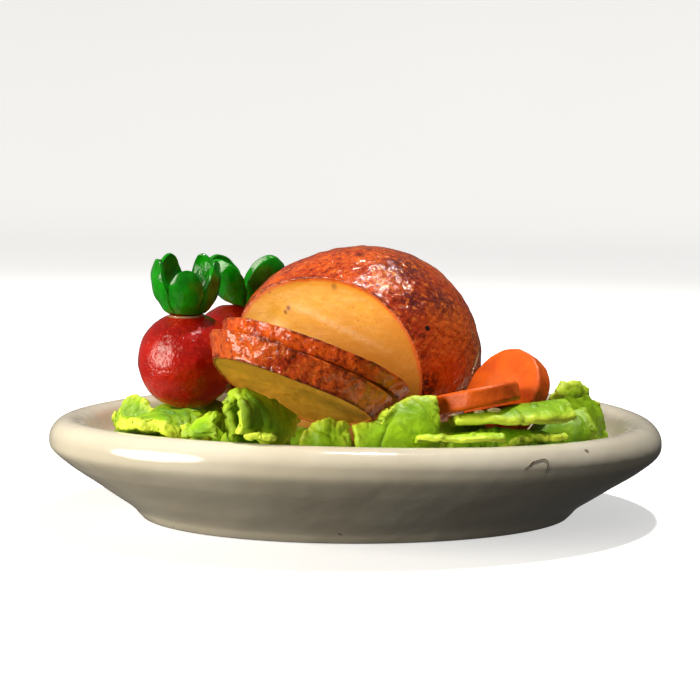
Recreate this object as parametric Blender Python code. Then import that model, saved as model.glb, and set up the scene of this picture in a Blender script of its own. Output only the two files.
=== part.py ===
# Dolls' house roast gammon on its platter: a carved joint and two slices of modelling clay,
# with tomatoes, carrot slices and curly lettuce, on a glazed oval platter.
# All sizes below are in millimetres, +X along the platter, +Y to its far side, +Z up.

import math

import bmesh
import bpy
import numpy as np
from mathutils import Vector, noise

MM = 0.001  # one of the units below, in metres
GAP = 0.05  # left between two pieces that touch

# Platter. An inset is measured inwards from the lip's outermost line.
PLATE_LENGTH = 35.0
PLATE_DEPTH = 26.0
PLATE_HEIGHT = 5.8
LIP_RADIUS = 1.12  # roundness of the thick lip
RIM_SLOPE = 36.5  # degrees, of the rim above and below
RIM_THICKNESS = 1.6
FOOT_INSET = 5.05
FOOT_PROFILE = ((0.0, 0.08), (0.15, 0.3), (0.3, 0.6), (0.65, 0.86))  # (how far out of the foot, height)
FOOT_EDGE = 0.12  # how far in of the foot's wall the flat base ends
LIP_STEPS = 6  # rings round the lip's outside
LIP_TURNS = (115.0, 140.0)  # degrees round the lip, from its top down to the rim
RIM_INSETS = (2.5, 3.7)  # of the rings on the straight rim
WELL_HEIGHT = 1.9  # top of the well's floor
WELL_INSET = 6.3
WELL_EDGE = 0.12  # how far up the rim rises from the floor half way to the rim's foot
LIP_WAVE = 0.24  # rise and fall of the lip round the platter
LIP_WAVE_TURN = 227.0  # degrees
WAVE_INSET = 4.4  # where the wave has died out
PLATE_SEGMENTS = 56

# Gammon joint: a ball of clay with its front cut away, fuller at the left of the cut face
JOINT_CENTRE = (0.69, 2.24, 8.59)
JOINT_RADIUS = 6.7
CUT_DIRECTION = (-0.577, -0.811, -0.140)  # that the cut face looks in
CUT_OFFSET = 3.82  # of the cut face from the joint's middle
SHOULDER_SWELL = 0.24  # share by which the left shoulder is fuller
SHOULDER_ANGLE = 161.0  # degrees round the joint's axis from its right-hand side
SHOULDER_SPREAD = 39.0
SHOULDER_END = 0.35  # share of the radius behind the joint's middle where the shoulder has faded
CUT_RINGS = (0.4, 0.75, 0.97)  # shares of the cut face's radius
CUT_EDGE = 0.03  # radians round the ball that the cut's edge takes
JOINT_BACK = 0.96  # share of the way round the ball where its last ring lies
JOINT_SEGMENTS = 36
JOINT_RINGS = 13

# Slices, the front one first. Each lies on its narrow face, and droop is how far its far edge sags.
SLICES = {
    "slice_1": dict(
        top=(-3.85, -6.2, 9.25), up=(0.36, 0.22, 0.90), wide=5.15, narrow=4.6, thickness=1.4, droop=1.2,
    ),
    "slice_2": dict(
        top=(-3.0, -5.0, 9.67), up=(0.35, 0.24, 0.90), wide=5.35, narrow=5.1, thickness=0.9, droop=0.25,
    ),
}
SLICE_SQUARENESS = 2.3  # 2 is a round slice
SLICE_DEPTH = 0.76  # length of the far half as a share of the near half
SLICE_SEGMENTS = 36
SLICE_EDGE = 0.15  # roundness of its edges

# Tomatoes and the leafy crowns that stand on them
TOMATOES = {
    "tomato_1": dict(centre=(-9.8, 3.5, 8.4), radius=2.93),
    "tomato_2": dict(centre=(-6.8, 8.8, 8.45), radius=2.9),
}
TOMATO_POLE = 14.0  # degrees from the top of the first ring, inside which it is dimpled
TOMATO_DIMPLE = 0.97  # height of the dimple as a share of the radius
TOMATO_SEGMENTS = 22
TOMATO_RINGS = 10
CROWNS = {  # lean moves the crown's foot off the tomato's top, and heights has a share for each petal
    "crown_1": dict(
        tomato="tomato_1", lean=(-0.05, -0.2), width=2.0, height=3.2, notch=0.86, turn=270.0, spread=0.0,
        heights=(0.74, 0.9, 1.0, 1.0, 0.92),
    ),
    "crown_2": dict(
        tomato="tomato_2", lean=(0.55, 0.0), width=2.0, height=2.85, notch=0.72, turn=45.0, spread=0.75,
        heights=(1.0, 1.0, 0.95, 1.0),
    ),
}
CROWN_SEAT = 1.05  # radius of the foot that sits on the tomato
CROWN_LIFT = 0.07  # of the foot over the tomato's true round, because both are faceted
CROWN_THICKNESS = 0.5
CROWN_FLOOR = 0.4  # thickness of the cup's floor
CROWN_BELLY = 0.82  # share of half a wave that the wall's bulge goes through from foot to tip
CROWN_FULLNESS = 0.7  # below 1 the wall swells out early
PETAL_ROUNDNESS = 0.5  # below 1 the tips are blunt
PETAL_STEPS = 8  # faces across each petal
PETAL_OUTSIDE = (0.0, 0.12, 0.35, 0.65, 0.9, 1.0)  # shares of the wall's height up the outside
PETAL_INSIDE = (0.97, 0.7, 0.35, 0.0)  # and down the inside
PETAL_TAPER = 0.5  # share of the thickness that is gone at the tip
CUP_BOTTOM = 0.12  # least radius inside the cup

# Carrot slices
CARROTS = {
    "carrot_1": dict(centre=(5.28, -7.35, 7.74), axis=(-0.19, 0.18, 0.965), radius=2.4, thickness=1.04),
    "carrot_2": dict(centre=(7.5, -4.6, 7.55), axis=(-0.735, -0.47, 0.49), radius=2.68, thickness=1.1),
}
CARROT_EDGE = 0.12  # roundness of its edges
CARROT_SEGMENTS = 28

# Lettuce: each leaf is a thick sheet curled round a line from start to end. out and up are the curl's
# radii at the line's start, middle and end. The arc runs from the leaf's root to its free edge, in
# degrees: 0 points away from the platter's middle, 90 up. The free edge waves in and out by frill and
# turns outwards by flare, ends says how much of the arc is left at the line's start and end, and slant
# moves the free edge's start back along the line.
LEAVES = {
    "lettuce_1": dict(
        start=(-13.6, -0.4, 4.3), end=(-11.4, -1.2, 4.3),
        out=(0.7, 0.9, 0.7), up=(1.7, 2.6, 1.8), arc=(-20, 80), ends=(0.7, 0.7),
        frill=0.3, waves=3.5, flare=0.2, slant=0.0, thickness=0.5, steps=(9, 6),
    ),
    "lettuce_2": dict(
        start=(-13.4, -4.8, 4.2), end=(-8.6, -4.9, 4.2),
        out=(1.2, 2.4, 1.5), up=(1.3, 2.5, 1.8), arc=(200, -10), ends=(0.8, 0.8),
        frill=0.25, waves=2.5, flare=0.5, slant=0.0, thickness=0.7, steps=(12, 8),
    ),
    "lettuce_3": dict(
        start=(-9.9, -8.3, 5.6), end=(-8.2, -8.6, 5.8),
        out=(0.8, 0.9, 0.9), up=(0.8, 1.1, 1.4), arc=(0, 115), ends=(0.8, 1.0),
        frill=0.1, waves=2.0, flare=0.0, slant=0.0, thickness=0.35, steps=(8, 6),
    ),
    "lettuce_4": dict(
        start=(-7.5, -9.6, 7.15), end=(-4.2, -7.9, 5.6),
        out=(1.15, 1.3, 0.8), up=(1.5, 1.75, 1.1), arc=(265, -50), ends=(1.0, 0.6),
        frill=0.1, waves=3.0, flare=0.2, slant=0.3, thickness=0.55, steps=(10, 12),
    ),
    "lettuce_5": dict(
        start=(-7.0, -10.95, 5.8), end=(-5.5, -11.05, 5.8),
        out=(0.2, 0.25, 0.2), up=(0.2, 0.3, 0.2), arc=(170, 0), ends=(0.5, 0.8),
        frill=0.05, waves=2.0, flare=0.1, slant=0.0, thickness=0.3, steps=(6, 5),
    ),
    "lettuce_6": dict(
        start=(-4.3, -8.7, 5.2), end=(-1.8, -8.5, 5.3),
        out=(1.4, 1.7, 1.6), up=(1.1, 1.8, 1.8), arc=(-60, 62), ends=(0.9, 0.9),
        frill=0.25, waves=2.5, flare=0.0, slant=0.0, thickness=0.5, steps=(10, 6),
    ),
    "lettuce_7": dict(
        start=(-1.5, -8.6, 5.4), end=(2.85, -8.1, 5.9),
        out=(1.5, 1.8, 1.5), up=(1.5, 2.3, 2.4), arc=(-15, 70), ends=(0.8, 0.9),
        frill=0.45, waves=1.7, flare=0.0, slant=0.0, thickness=0.55, steps=(16, 8),
    ),
    "lettuce_8": dict(
        start=(1.6, -11.0, 5.7), end=(6.2, -10.7, 5.7),
        out=(0.4, 0.5, 0.4), up=(0.5, 0.6, 0.5), arc=(150, 20), ends=(0.6, 0.8),
        frill=0.1, waves=2.0, flare=0.0, slant=0.0, thickness=0.3, steps=(9, 5),
    ),
    "lettuce_9": dict(
        start=(3.55, -6.8, 6.6), end=(10.2, -6.1, 6.6),
        out=(2.6, 3.4, 2.6), up=(0.8, 1.0, 0.9), arc=(72, 8), ends=(0.85, 0.9),
        frill=0.12, waves=1.5, flare=0.2, slant=0.0, thickness=0.55, steps=(13, 6),
    ),
    "lettuce_10": dict(
        start=(3.2, -7.0, 4.3), end=(11.9, -5.0, 4.6),
        out=(1.2, 1.4, 1.6), up=(2.4, 2.2, 2.2), arc=(88, -50), ends=(0.9, 1.0),
        frill=0.25, waves=2.5, flare=0.0, slant=0.0, thickness=0.55, steps=(13, 6),
    ),
    "lettuce_11": dict(
        start=(9.8, -3.1, 4.3), end=(13.7, 0.3, 4.3),
        out=(1.0, 1.4, 1.0), up=(2.2, 3.0, 1.9), arc=(-20, 85), ends=(0.9, 0.7),
        frill=0.35, waves=3.5, flare=0.3, slant=0.0, thickness=0.6, steps=(12, 8),
    ),
    "lettuce_12": dict(
        start=(-12.2, 4.4, 3.2), end=(-7.2, 5.0, 3.2),
        out=(1.2, 2.1, 1.2), up=(1.6, 2.8, 1.7), arc=(200, -15), ends=(0.7, 0.7),
        frill=0.3, waves=3.0, flare=0.4, slant=0.0, thickness=0.5, steps=(9, 6),
    ),
    "lettuce_13": dict(
        start=(-7.4, 7.6, 3.9), end=(-3.6, 8.6, 3.9),
        out=(0.8, 0.9, 0.8), up=(1.2, 1.5, 1.4), arc=(200, -10), ends=(0.7, 0.7),
        frill=0.35, waves=3.0, flare=0.4, slant=0.0, thickness=0.35, steps=(11, 6),
    ),
    "lettuce_14": dict(
        start=(-3.0, 9.4, 3.9), end=(4.8, 9.4, 3.9),
        out=(0.9, 2.4, 1.1), up=(1.4, 2.9, 1.6), arc=(200, -10), ends=(0.7, 0.7),
        frill=0.35, waves=3.5, flare=0.4, slant=0.0, thickness=0.6, steps=(13, 6),
    ),
    "lettuce_15": dict(
        start=(5.4, 8.0, 3.8), end=(10.4, 5.2, 3.8),
        out=(1.0, 2.8, 1.2), up=(1.5, 3.1, 1.7), arc=(205, -10), ends=(0.7, 0.7),
        frill=0.35, waves=3.0, flare=0.4, slant=0.0, thickness=0.6, steps=(11, 6),
    ),
    "lettuce_16": dict(
        start=(-7.4, -0.6, 3.0), end=(-0.8, -5.0, 3.0),
        out=(1.2, 2.6, 1.2), up=(2.8, 4.2, 2.6), arc=(200, -20), ends=(0.8, 0.8),
        frill=0.2, waves=2.0, flare=0.0, slant=0.0, thickness=0.6, steps=(10, 6),
    ),
    "lettuce_17": dict(
        start=(-10.4, -1.2, 3.0), end=(-8.0, 0.6, 3.0),
        out=(0.8, 1.5, 0.8), up=(1.2, 2.3, 1.2), arc=(200, -20), ends=(0.8, 0.8),
        frill=0.2, waves=2.0, flare=0.2, slant=0.0, thickness=0.6, steps=(8, 6),
    ),
    "lettuce_18": dict(
        start=(3.4, -9.0, 4.2), end=(9.8, -8.5, 4.3),
        out=(0.7, 0.9, 0.8), up=(1.8, 2.0, 1.6), arc=(100, -20), ends=(0.8, 0.8),
        frill=0.1, waves=3.0, flare=0.2, slant=0.0, thickness=0.4, steps=(9, 5),
    ),
}
FRILL_SINKS = 0.6  # how far a frill goes down for each unit that it goes outwards
RIPPLE_SHIFT = 0.37  # share of a wave between one leaf's frill and the next one's
LEAF_UNEVENNESS = 0.24
LEAF_LUMP = 1.3  # size of its lumps
SETTLING_ROUNDS = 14
EASING_ROUNDS = 10  # the first of them, in which the pressed leaf also evens itself out
EASE = 0.45  # share of the way that a point then moves to the middle of its neighbours
LEAF_CLEARANCE = 0.13  # more than the gap, because a leaf's flat facets cut corners
LIP_BRIDGE = 0.2  # how far to each side of a point the platter's slope is taken
SEARCH_ROUNDS = 30  # halvings in the search for a point's inset
SEARCH_END = 0.5  # how far from the platter's middle line the search stops
NOISE_SHIFT = (7.3, 3.1, 5.7)  # between one seed's random values and the next one's

FINISHES = {  # colour and roughness
    "glaze": ((0.78, 0.74, 0.62), 0.16),
    "roast": ((0.52, 0.12, 0.03), 0.30),
    "tomato": ((0.45, 0.02, 0.01), 0.35),
    "crown": ((0.01, 0.18, 0.01), 0.35),
    "carrot": ((0.80, 0.16, 0.01), 0.40),
    "leaf": ((0.22, 0.42, 0.02), 0.45),
}


def clear_scene():
    for obj in list(bpy.data.objects):
        bpy.data.objects.remove(obj, do_unlink=True)


def make_material(name):
    material = bpy.data.materials.get(name)
    if material is None:
        colour, roughness = FINISHES[name]
        material = bpy.data.materials.new(name)
        material.use_nodes = True
        shader = material.node_tree.nodes["Principled BSDF"]
        shader.inputs["Base Color"].default_value = (*colour, 1.0)
        shader.inputs["Roughness"].default_value = roughness
        shader.inputs["Metallic"].default_value = 0.0
    return material


def add_piece(name, points, faces, origin, finish):
    """One object with a mesh through these points, in millimetres, and its origin at origin."""
    mesh = bpy.data.meshes.new(name)
    local = (np.asarray(points) - np.asarray(origin)) * MM
    mesh.from_pydata(local.tolist(), [], faces)
    edit = bmesh.new()
    edit.from_mesh(mesh)
    bmesh.ops.recalc_face_normals(edit, faces=edit.faces)
    edit.to_mesh(mesh)
    edit.free()
    mesh.shade_smooth()
    mesh.set_sharp_from_angle(angle=math.radians(50))
    mesh.materials.append(make_material(finish))
    obj = bpy.data.objects.new(name, mesh)
    obj.location = Vector(origin) * MM
    bpy.context.scene.collection.objects.link(obj)


def skin_rings(rings, first_pole, last_pole):
    """Points and faces of a closed body through rings of equally many points, with a pole at each end."""
    rows, count = len(rings), len(rings[0])
    points = [point for ring in rings for point in ring] + [first_pole, last_pole]
    first, last, end = rows * count, rows * count + 1, (rows - 1) * count
    faces = []
    for step in range(count):
        after = (step + 1) % count
        faces.append((first, after, step))
        faces.append((last, end + step, end + after))
        for row in range(0, end, count):
            faces.append((row + step, row + after, row + after + count, row + step + count))
    return points, faces


def unit(vector):
    return np.asarray(vector, float) / np.linalg.norm(vector)


def axes_about(axis):
    """Right and upward directions square to the axis, as a viewer sees them who looks along +Y."""
    axis = unit(axis)
    right = unit((1, 0, 0) - axis[0] * axis)
    upward = np.cross(axis, right)
    return right, upward if upward[2] > 0 or abs(axis[2]) > 0.6 and upward[1] > 0 else -upward


def full_turn(count):
    return [math.tau * step / count for step in range(count)]


def unevenness(point, size, seed):
    """A smooth random value, mostly between -0.5 and 0.5, that changes over the given size."""
    return noise.noise(Vector(point) / size + Vector(NOISE_SHIFT) * seed)


# Platter


def lip_height(turn, inset):
    """What the lip's slow wave adds to the height at this turn of the oval."""
    fade = max(0.0, 1 - inset / WAVE_INSET)
    return LIP_WAVE * fade * math.cos(2 * turn + math.radians(LIP_WAVE_TURN))


def plate_walls():
    """(inset, height) up the outside from the foot to the lip's top, and on down to the well's floor."""
    slope = math.radians(RIM_SLOPE)
    middle = (LIP_RADIUS, PLATE_HEIGHT - LIP_RADIUS)
    outside = [(FOOT_INSET - spread, height) for spread, height in FOOT_PROFILE]
    for angle in np.linspace(slope - math.pi / 2, math.pi / 2, LIP_STEPS):
        outside.append((middle[0] - LIP_RADIUS * math.cos(angle), middle[1] + LIP_RADIUS * math.sin(angle)))
    rise, run = math.cos(slope), math.sin(slope)
    rim_top = middle[1] + (RIM_THICKNESS - LIP_RADIUS) * rise
    rim_inset = middle[0] + (RIM_THICKNESS - LIP_RADIUS) * run
    inside = []
    for angle in LIP_TURNS:
        turn = math.radians(angle)
        inside.append((middle[0] - LIP_RADIUS * math.cos(turn), middle[1] + LIP_RADIUS * math.sin(turn)))
    for inset in (*RIM_INSETS, FOOT_INSET):  # down the straight rim
        inside.append((inset, rim_top - (inset - rim_inset) * math.tan(slope)))
    inside.append(((FOOT_INSET + WELL_INSET) / 2, WELL_HEIGHT + WELL_EDGE))
    inside.append((WELL_INSET, WELL_HEIGHT))
    return outside, inside


def oval(inset, height, share=1.0):
    """A ring of points on the platter, drawn in to this share of its size."""
    ring = []
    for turn in full_turn(PLATE_SEGMENTS):
        x = (PLATE_LENGTH / 2 - inset) * math.cos(turn) * share
        y = (PLATE_DEPTH / 2 - inset) * math.sin(turn) * share
        ring.append((x, y, height + lip_height(turn, inset)))
    return ring


def build_plate():
    outside, inside = plate_walls()
    rings = [oval(FOOT_INSET + FOOT_EDGE, 0.0, 0.5), oval(FOOT_INSET + FOOT_EDGE, 0.0)]
    rings += [oval(inset, height) for inset, height in outside + inside]
    rings += [oval(WELL_INSET, WELL_HEIGHT, 0.5)]
    points, faces = skin_rings(rings, (0, 0, 0), (0, 0, WELL_HEIGHT))
    add_piece("plate", points, faces, (0, 0, 0), "glaze")


# What a soft leaf is pressed clear of


class Ball:
    def __init__(self, centre, radius):
        self.centre, self.radius = np.asarray(centre, float), radius

    def clear(self, points, margin):
        away = points - self.centre
        distance = np.linalg.norm(away, axis=-1, keepdims=True)
        needed = self.radius + margin
        return np.where(distance < needed, self.centre + away / distance * needed, points)


class Disc:
    """A round slice, whose far edge may sag. Leaves go below it or beyond its edge, never above it."""

    def __init__(self, centre, axis, radius, thickness, droop=0.0):
        self.centre, self.axis, self.far = np.asarray(centre, float), unit(axis), axes_about(axis)[1]
        self.radius, self.half, self.droop = radius, thickness / 2, droop

    def clear(self, points, margin):
        away = points - self.centre
        height = away @ self.axis
        across = away - height[..., None] * self.axis
        distance = np.linalg.norm(across, axis=-1)
        height = height + self.droop * np.maximum(0, across @ self.far / self.radius) ** 2
        below = self.half + margin + height
        beyond = self.radius + margin - distance
        inside = (below > 0) & (height < self.half + margin) & (beyond > 0)
        down = points - below[..., None] * self.axis
        outward = points + across / np.maximum(distance, 1e-6)[..., None] * beyond[..., None]
        moved = np.where((below < beyond)[..., None], down, outward)
        return np.where(inside[..., None], moved, points)


class Dish:
    """The platter's upper side."""

    def __init__(self):
        outside, inside = plate_walls()
        self.insets, self.heights = zip(*([outside[-1]] + inside))

    def clear(self, points, margin):
        low, high = np.zeros(points.shape[:-1]), np.full(points.shape[:-1], PLATE_DEPTH / 2 - SEARCH_END)
        for _ in range(SEARCH_ROUNDS):
            inset = (low + high) / 2
            along = points[..., 0] / (PLATE_LENGTH / 2 - inset)
            across = points[..., 1] / (PLATE_DEPTH / 2 - inset)
            reach = along ** 2 + across ** 2
            low, high = np.where(reach < 1, inset, low), np.where(reach < 1, high, inset)
        across, along = points[..., 1] / (PLATE_DEPTH / 2 - low), points[..., 0] / (PLATE_LENGTH / 2 - low)
        turn = np.arctan2(across, along)
        fade = np.maximum(0.0, 1 - low / WAVE_INSET)
        wave = LIP_WAVE * fade * np.cos(2 * turn + math.radians(LIP_WAVE_TURN))
        lower = np.interp(low + LIP_BRIDGE, self.insets, self.heights)
        upper = np.interp(low - LIP_BRIDGE, self.insets, self.heights)
        lift = margin * np.hypot(1, (upper - lower) / (2 * LIP_BRIDGE))
        floor = np.interp(low, self.insets, self.heights) + wave + lift
        moved = points.copy()
        moved[..., 2] = np.maximum(points[..., 2], floor)
        return moved


# Gammon


def shoulder(along, turn):
    """How much fuller than a ball the joint is, at this place along its axis and turn about it."""
    behind = SHOULDER_END * JOINT_RADIUS
    fade = np.clip((along + behind) / (CUT_OFFSET + behind), 0, 1)
    apart = (np.degrees(turn) % 360 - SHOULDER_ANGLE) / SHOULDER_SPREAD
    return 1 + SHOULDER_SWELL * fade * np.exp(-apart * apart)


class Joint:
    """What the gammon joint takes up. Leaves go round it, or in front of its cut face."""

    def clear(self, points, margin):
        axis = unit(CUT_DIRECTION)
        right, upward = axes_about(axis)
        away = points - np.array(JOINT_CENTRE)
        along = away @ axis
        across = away - along[..., None] * axis
        distance = np.maximum(np.linalg.norm(across, axis=-1), 1e-6)
        turn = np.arctan2(across @ upward, across @ right)
        ball = np.sqrt(np.maximum(0, (JOINT_RADIUS + margin) ** 2 - along * along))
        beyond = ball * shoulder(along, turn) - distance
        before = CUT_OFFSET + margin - along
        forward = points + axis * before[..., None]
        outward = points + across / distance[..., None] * beyond[..., None]
        moved = np.where((before < beyond)[..., None], forward, outward)
        return np.where(((beyond > 0) & (before > 0))[..., None], moved, points)


def build_joint():
    centre, axis = np.array(JOINT_CENTRE), unit(CUT_DIRECTION)
    right, upward = axes_about(axis)
    first = math.acos(CUT_OFFSET / JOINT_RADIUS)
    floor = WELL_HEIGHT + GAP

    def place(reach, along, turn):
        reach *= shoulder(along, turn)
        point = centre + axis * along + (right * math.cos(turn) + upward * math.sin(turn)) * reach
        return (point[0], point[1], max(point[2], floor))

    rings = []
    cut_reach = JOINT_RADIUS * math.sin(first)
    for share in CUT_RINGS:
        rings.append([place(cut_reach * share, CUT_OFFSET, turn) for turn in full_turn(JOINT_SEGMENTS)])
    for angle in np.linspace(first + CUT_EDGE, math.pi * JOINT_BACK, JOINT_RINGS):
        reach, along = JOINT_RADIUS * math.sin(angle), JOINT_RADIUS * math.cos(angle)
        rings.append([place(reach, along, turn) for turn in full_turn(JOINT_SEGMENTS)])
    points, faces = skin_rings(rings, place(0, CUT_OFFSET, 0), place(0, -JOINT_RADIUS, 0))
    add_piece("gammon_joint", points, faces, JOINT_CENTRE, "roast")


def build_slice(name, spec):
    top, up = np.array(spec["top"]), unit(spec["up"])
    right, away = axes_about(up)
    wide, narrow, thickness = spec["wide"], spec["narrow"], spec["thickness"]

    def place(reach, depth, turn):
        corner = (abs(math.cos(turn)) ** SLICE_SQUARENESS + abs(math.sin(turn)) ** SLICE_SQUARENESS)
        reach *= corner ** (-1 / SLICE_SQUARENESS)
        x, y = reach * math.cos(turn), reach * math.sin(turn)
        sag = spec["droop"] * max(0.0, y / wide) ** 2
        return top + right * x + away * (y * SLICE_DEPTH if y > 0 else y) - up * (depth + sag)

    outline = [
        (wide / 2, 0), (wide - SLICE_EDGE, 0), (wide, SLICE_EDGE), ((wide + narrow) / 2, thickness / 2),
        (narrow, thickness - SLICE_EDGE), (narrow - SLICE_EDGE, thickness), (narrow / 2, thickness),
    ]
    rings = [[place(reach, depth, turn) for turn in full_turn(SLICE_SEGMENTS)] for reach, depth in outline]
    points, faces = skin_rings(rings, place(0, 0, 0), place(0, thickness, 0))
    add_piece(name, points, faces, top - up * thickness / 2, "roast")


# Tomatoes and carrots


def build_tomato(name, centre, radius):
    rings = []
    for angle in np.linspace(math.radians(TOMATO_POLE), math.radians(180 - TOMATO_POLE), TOMATO_RINGS):
        reach, rise = radius * math.sin(angle), radius * math.cos(angle)
        rings.append([
            (centre[0] + reach * math.cos(turn), centre[1] + reach * math.sin(turn), centre[2] + rise)
            for turn in full_turn(TOMATO_SEGMENTS)
        ])
    top = (centre[0], centre[1], centre[2] + radius * TOMATO_DIMPLE)
    bottom = (centre[0], centre[1], centre[2] - radius * TOMATO_DIMPLE)
    points, faces = skin_rings(rings, top, bottom)
    add_piece(name, points, faces, centre, "tomato")


def build_crown(name, tomato, lean, width, height, notch, turn, spread, heights):
    """A cup that fits the tomato's top and is cut down into petals: up outside and down inside."""
    petals = len(heights)
    centre, radius = np.array(TOMATOES[tomato]["centre"]), TOMATOES[tomato]["radius"] + CROWN_LIFT
    foot = centre + (*lean, 0.0)
    between = height * (1 - notch)  # how high the wall is between two petals

    def on_tomato(reach, angle):
        facing = angle + math.radians(turn)
        x, y = lean[0] + reach * math.cos(facing), lean[1] + reach * math.sin(facing)
        return (centre[0] + x, centre[1] + y, centre[2] + math.sqrt(radius ** 2 - x ** 2 - y ** 2))

    def place(share, angle, inner):
        lobe = abs(math.cos(petals * angle / 2)) ** PETAL_ROUNDNESS
        petal = round(angle * petals / math.tau) % petals
        rim = between + (height * heights[petal] - between) * lobe
        floor = CROWN_FLOOR if inner else 0.0
        rise = floor + (rim - floor) * share
        level = rise / height
        belly = math.sin(math.pi * CROWN_BELLY * level) ** CROWN_FULLNESS
        reach = CROWN_SEAT + (width - CROWN_SEAT) * (belly + spread * level)
        if inner:
            reach = max(CUP_BOTTOM, reach - CROWN_THICKNESS * (1 - PETAL_TAPER * share))
        facing = angle + math.radians(turn)
        base = (centre[2] + radius) * share + on_tomato(CROWN_SEAT, angle)[2] * (1 - share)
        return (foot[0] + reach * math.cos(facing), foot[1] + reach * math.sin(facing), base + rise)

    turns = full_turn(petals * PETAL_STEPS)
    rings = [[on_tomato(CROWN_SEAT / 2, angle) for angle in turns]]
    rings += [[place(share, angle, False) for angle in turns] for share in PETAL_OUTSIDE]
    rings += [[place(share, angle, True) for angle in turns] for share in PETAL_INSIDE]
    bottom = on_tomato(0, 0)
    points, faces = skin_rings(rings, bottom, (foot[0], foot[1], bottom[2] + CROWN_FLOOR))
    add_piece(name, points, faces, bottom, "crown")


def build_carrot(name, centre, axis, radius, thickness):
    centre, axis = np.array(centre), unit(axis)
    right, away = axes_about(axis)
    half = thickness / 2

    def place(reach, rise, turn):
        return centre + axis * rise + (right * math.cos(turn) + away * math.sin(turn)) * reach

    outline = [(radius - CARROT_EDGE, half), (radius, half - CARROT_EDGE)]
    outline += [(reach, -rise) for reach, rise in reversed(outline)]
    rings = [[place(reach, rise, turn) for turn in full_turn(CARROT_SEGMENTS)] for reach, rise in outline]
    points, faces = skin_rings(rings, place(0, half, 0), place(0, -half, 0))
    add_piece(name, points, faces, centre, "carrot")


# Lettuce


def along_three(values, share):
    """A smooth run through the values at the start, middle and end."""
    start, middle, end = values
    ends = start * (1 - share) * (1 - 2 * share) + end * share * (2 * share - 1)
    return ends + middle * 4 * share * (1 - share)


def leaf_sheet(spec, seed):
    """The middle of a leaf's thickness, as a grid of points along its line and round its curl."""
    start, end = np.array(spec["start"]), np.array(spec["end"])
    line, upward = end - start, np.array((0.0, 0.0, 1.0))
    outward = unit((line[1], -line[0], 0.0))
    outward *= 1 if outward @ (start + end) > 0 else -1
    along, around = spec["steps"]
    first, last = spec["arc"]
    sheet = np.empty((along + 1, around + 1, 3))
    for i in range(along + 1):
        share = i / along
        kept = along_three((spec["ends"][0], 1.0, spec["ends"][1]), share)
        ripple = math.sin(math.tau * (spec["waves"] * share + RIPPLE_SHIFT * seed))
        for j in range(around + 1):
            curl = j / around
            angle = math.radians(first + (last - first) * curl * kept)
            radial = outward * math.cos(angle) + upward * math.sin(angle)
            loose = max(0.0, 2 * curl - 1) ** 2  # from nothing at the leaf's middle to 1 at its free edge
            frill = spec["frill"] * ripple * loose
            point = start + line * share - unit(line) * spec["slant"] * loose * (1 - share)
            point = point + outward * math.cos(angle) * along_three(spec["out"], share)
            point = point + upward * math.sin(angle) * along_three(spec["up"], share)
            lump = LEAF_UNEVENNESS * unevenness(point, LEAF_LUMP, seed) + spec["flare"] * loose
            sheet[i, j] = point + radial * (frill + lump) - upward * frill * FRILL_SINKS
    return sheet


def ease(sheet):
    """Moves points towards the middle of their neighbours, so that a pressed leaf doesn't fold."""
    along, around = sheet.copy(), sheet.copy()
    along[1:-1] = (sheet[2:] + sheet[:-2]) / 2
    around[:, 1:-1] = (sheet[:, 2:] + sheet[:, :-2]) / 2
    middle = (along + around) / 2
    middle[0], middle[-1] = around[0], around[-1]  # an edge evens out along itself alone
    middle[:, 0], middle[:, -1] = along[:, 0], along[:, -1]
    return sheet + (middle - sheet) * EASE


def settle(sheet, solids, margin):
    for number in range(SETTLING_ROUNDS):
        before = sheet
        for solid in solids:
            sheet = solid.clear(sheet, margin)
        if number < EASING_ROUNDS:
            pressed = np.linalg.norm(sheet - before, axis=-1).max() > GAP
            sheet = ease(sheet) if pressed else sheet
    return sheet


def sheet_normals(sheet):
    along, around = np.gradient(sheet, axis=0), np.gradient(sheet, axis=1)
    normals = np.cross(along, around)
    return normals / np.linalg.norm(normals, axis=-1, keepdims=True)


def thicken(sheet, thickness):
    """A closed body of this thickness about the sheet, with both faces split into triangles alike."""
    rows, columns = sheet.shape[:2]
    shift = sheet_normals(sheet) * thickness / 2
    points = np.concatenate([(sheet + shift).reshape(-1, 3), (sheet - shift).reshape(-1, 3)])
    size = rows * columns
    faces = []
    for i in range(rows - 1):
        for j in range(columns - 1):
            a = i * columns + j
            b, c, d = a + columns, a + columns + 1, a + 1
            faces += [(a, b, c), (a, c, d), (size + a, size + c, size + b), (size + a, size + d, size + c)]
    edge = [i * columns for i in range(rows)] + [(rows - 1) * columns + j for j in range(1, columns)]
    edge += [i * columns + columns - 1 for i in range(rows - 2, -1, -1)]
    edge += list(range(columns - 2, 0, -1))
    for here, there in zip(edge, edge[1:] + edge[:1]):
        faces.append((here, size + here, size + there, there))
    return points, faces


def build_leaf(name, spec, solids):
    thickness, seed = spec["thickness"], int(name.split("_")[1])
    sheet = settle(leaf_sheet(spec, seed), solids, thickness / 2 + LEAF_CLEARANCE)
    points, faces = thicken(sheet, thickness)
    add_piece(name, points, faces, sheet.mean(axis=(0, 1)), "leaf")


def solids_round_leaves():
    solids = [Joint()]
    solids += [Ball(tomato["centre"], tomato["radius"]) for tomato in TOMATOES.values()]
    for spec in SLICES.values():
        middle = np.array(spec["top"]) - unit(spec["up"]) * spec["thickness"] / 2
        solids.append(Disc(middle, spec["up"], spec["wide"], spec["thickness"], spec["droop"]))
    for spec in CARROTS.values():
        solids.append(Disc(spec["centre"], spec["axis"], spec["radius"], spec["thickness"]))
    return solids + [Dish()]


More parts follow.
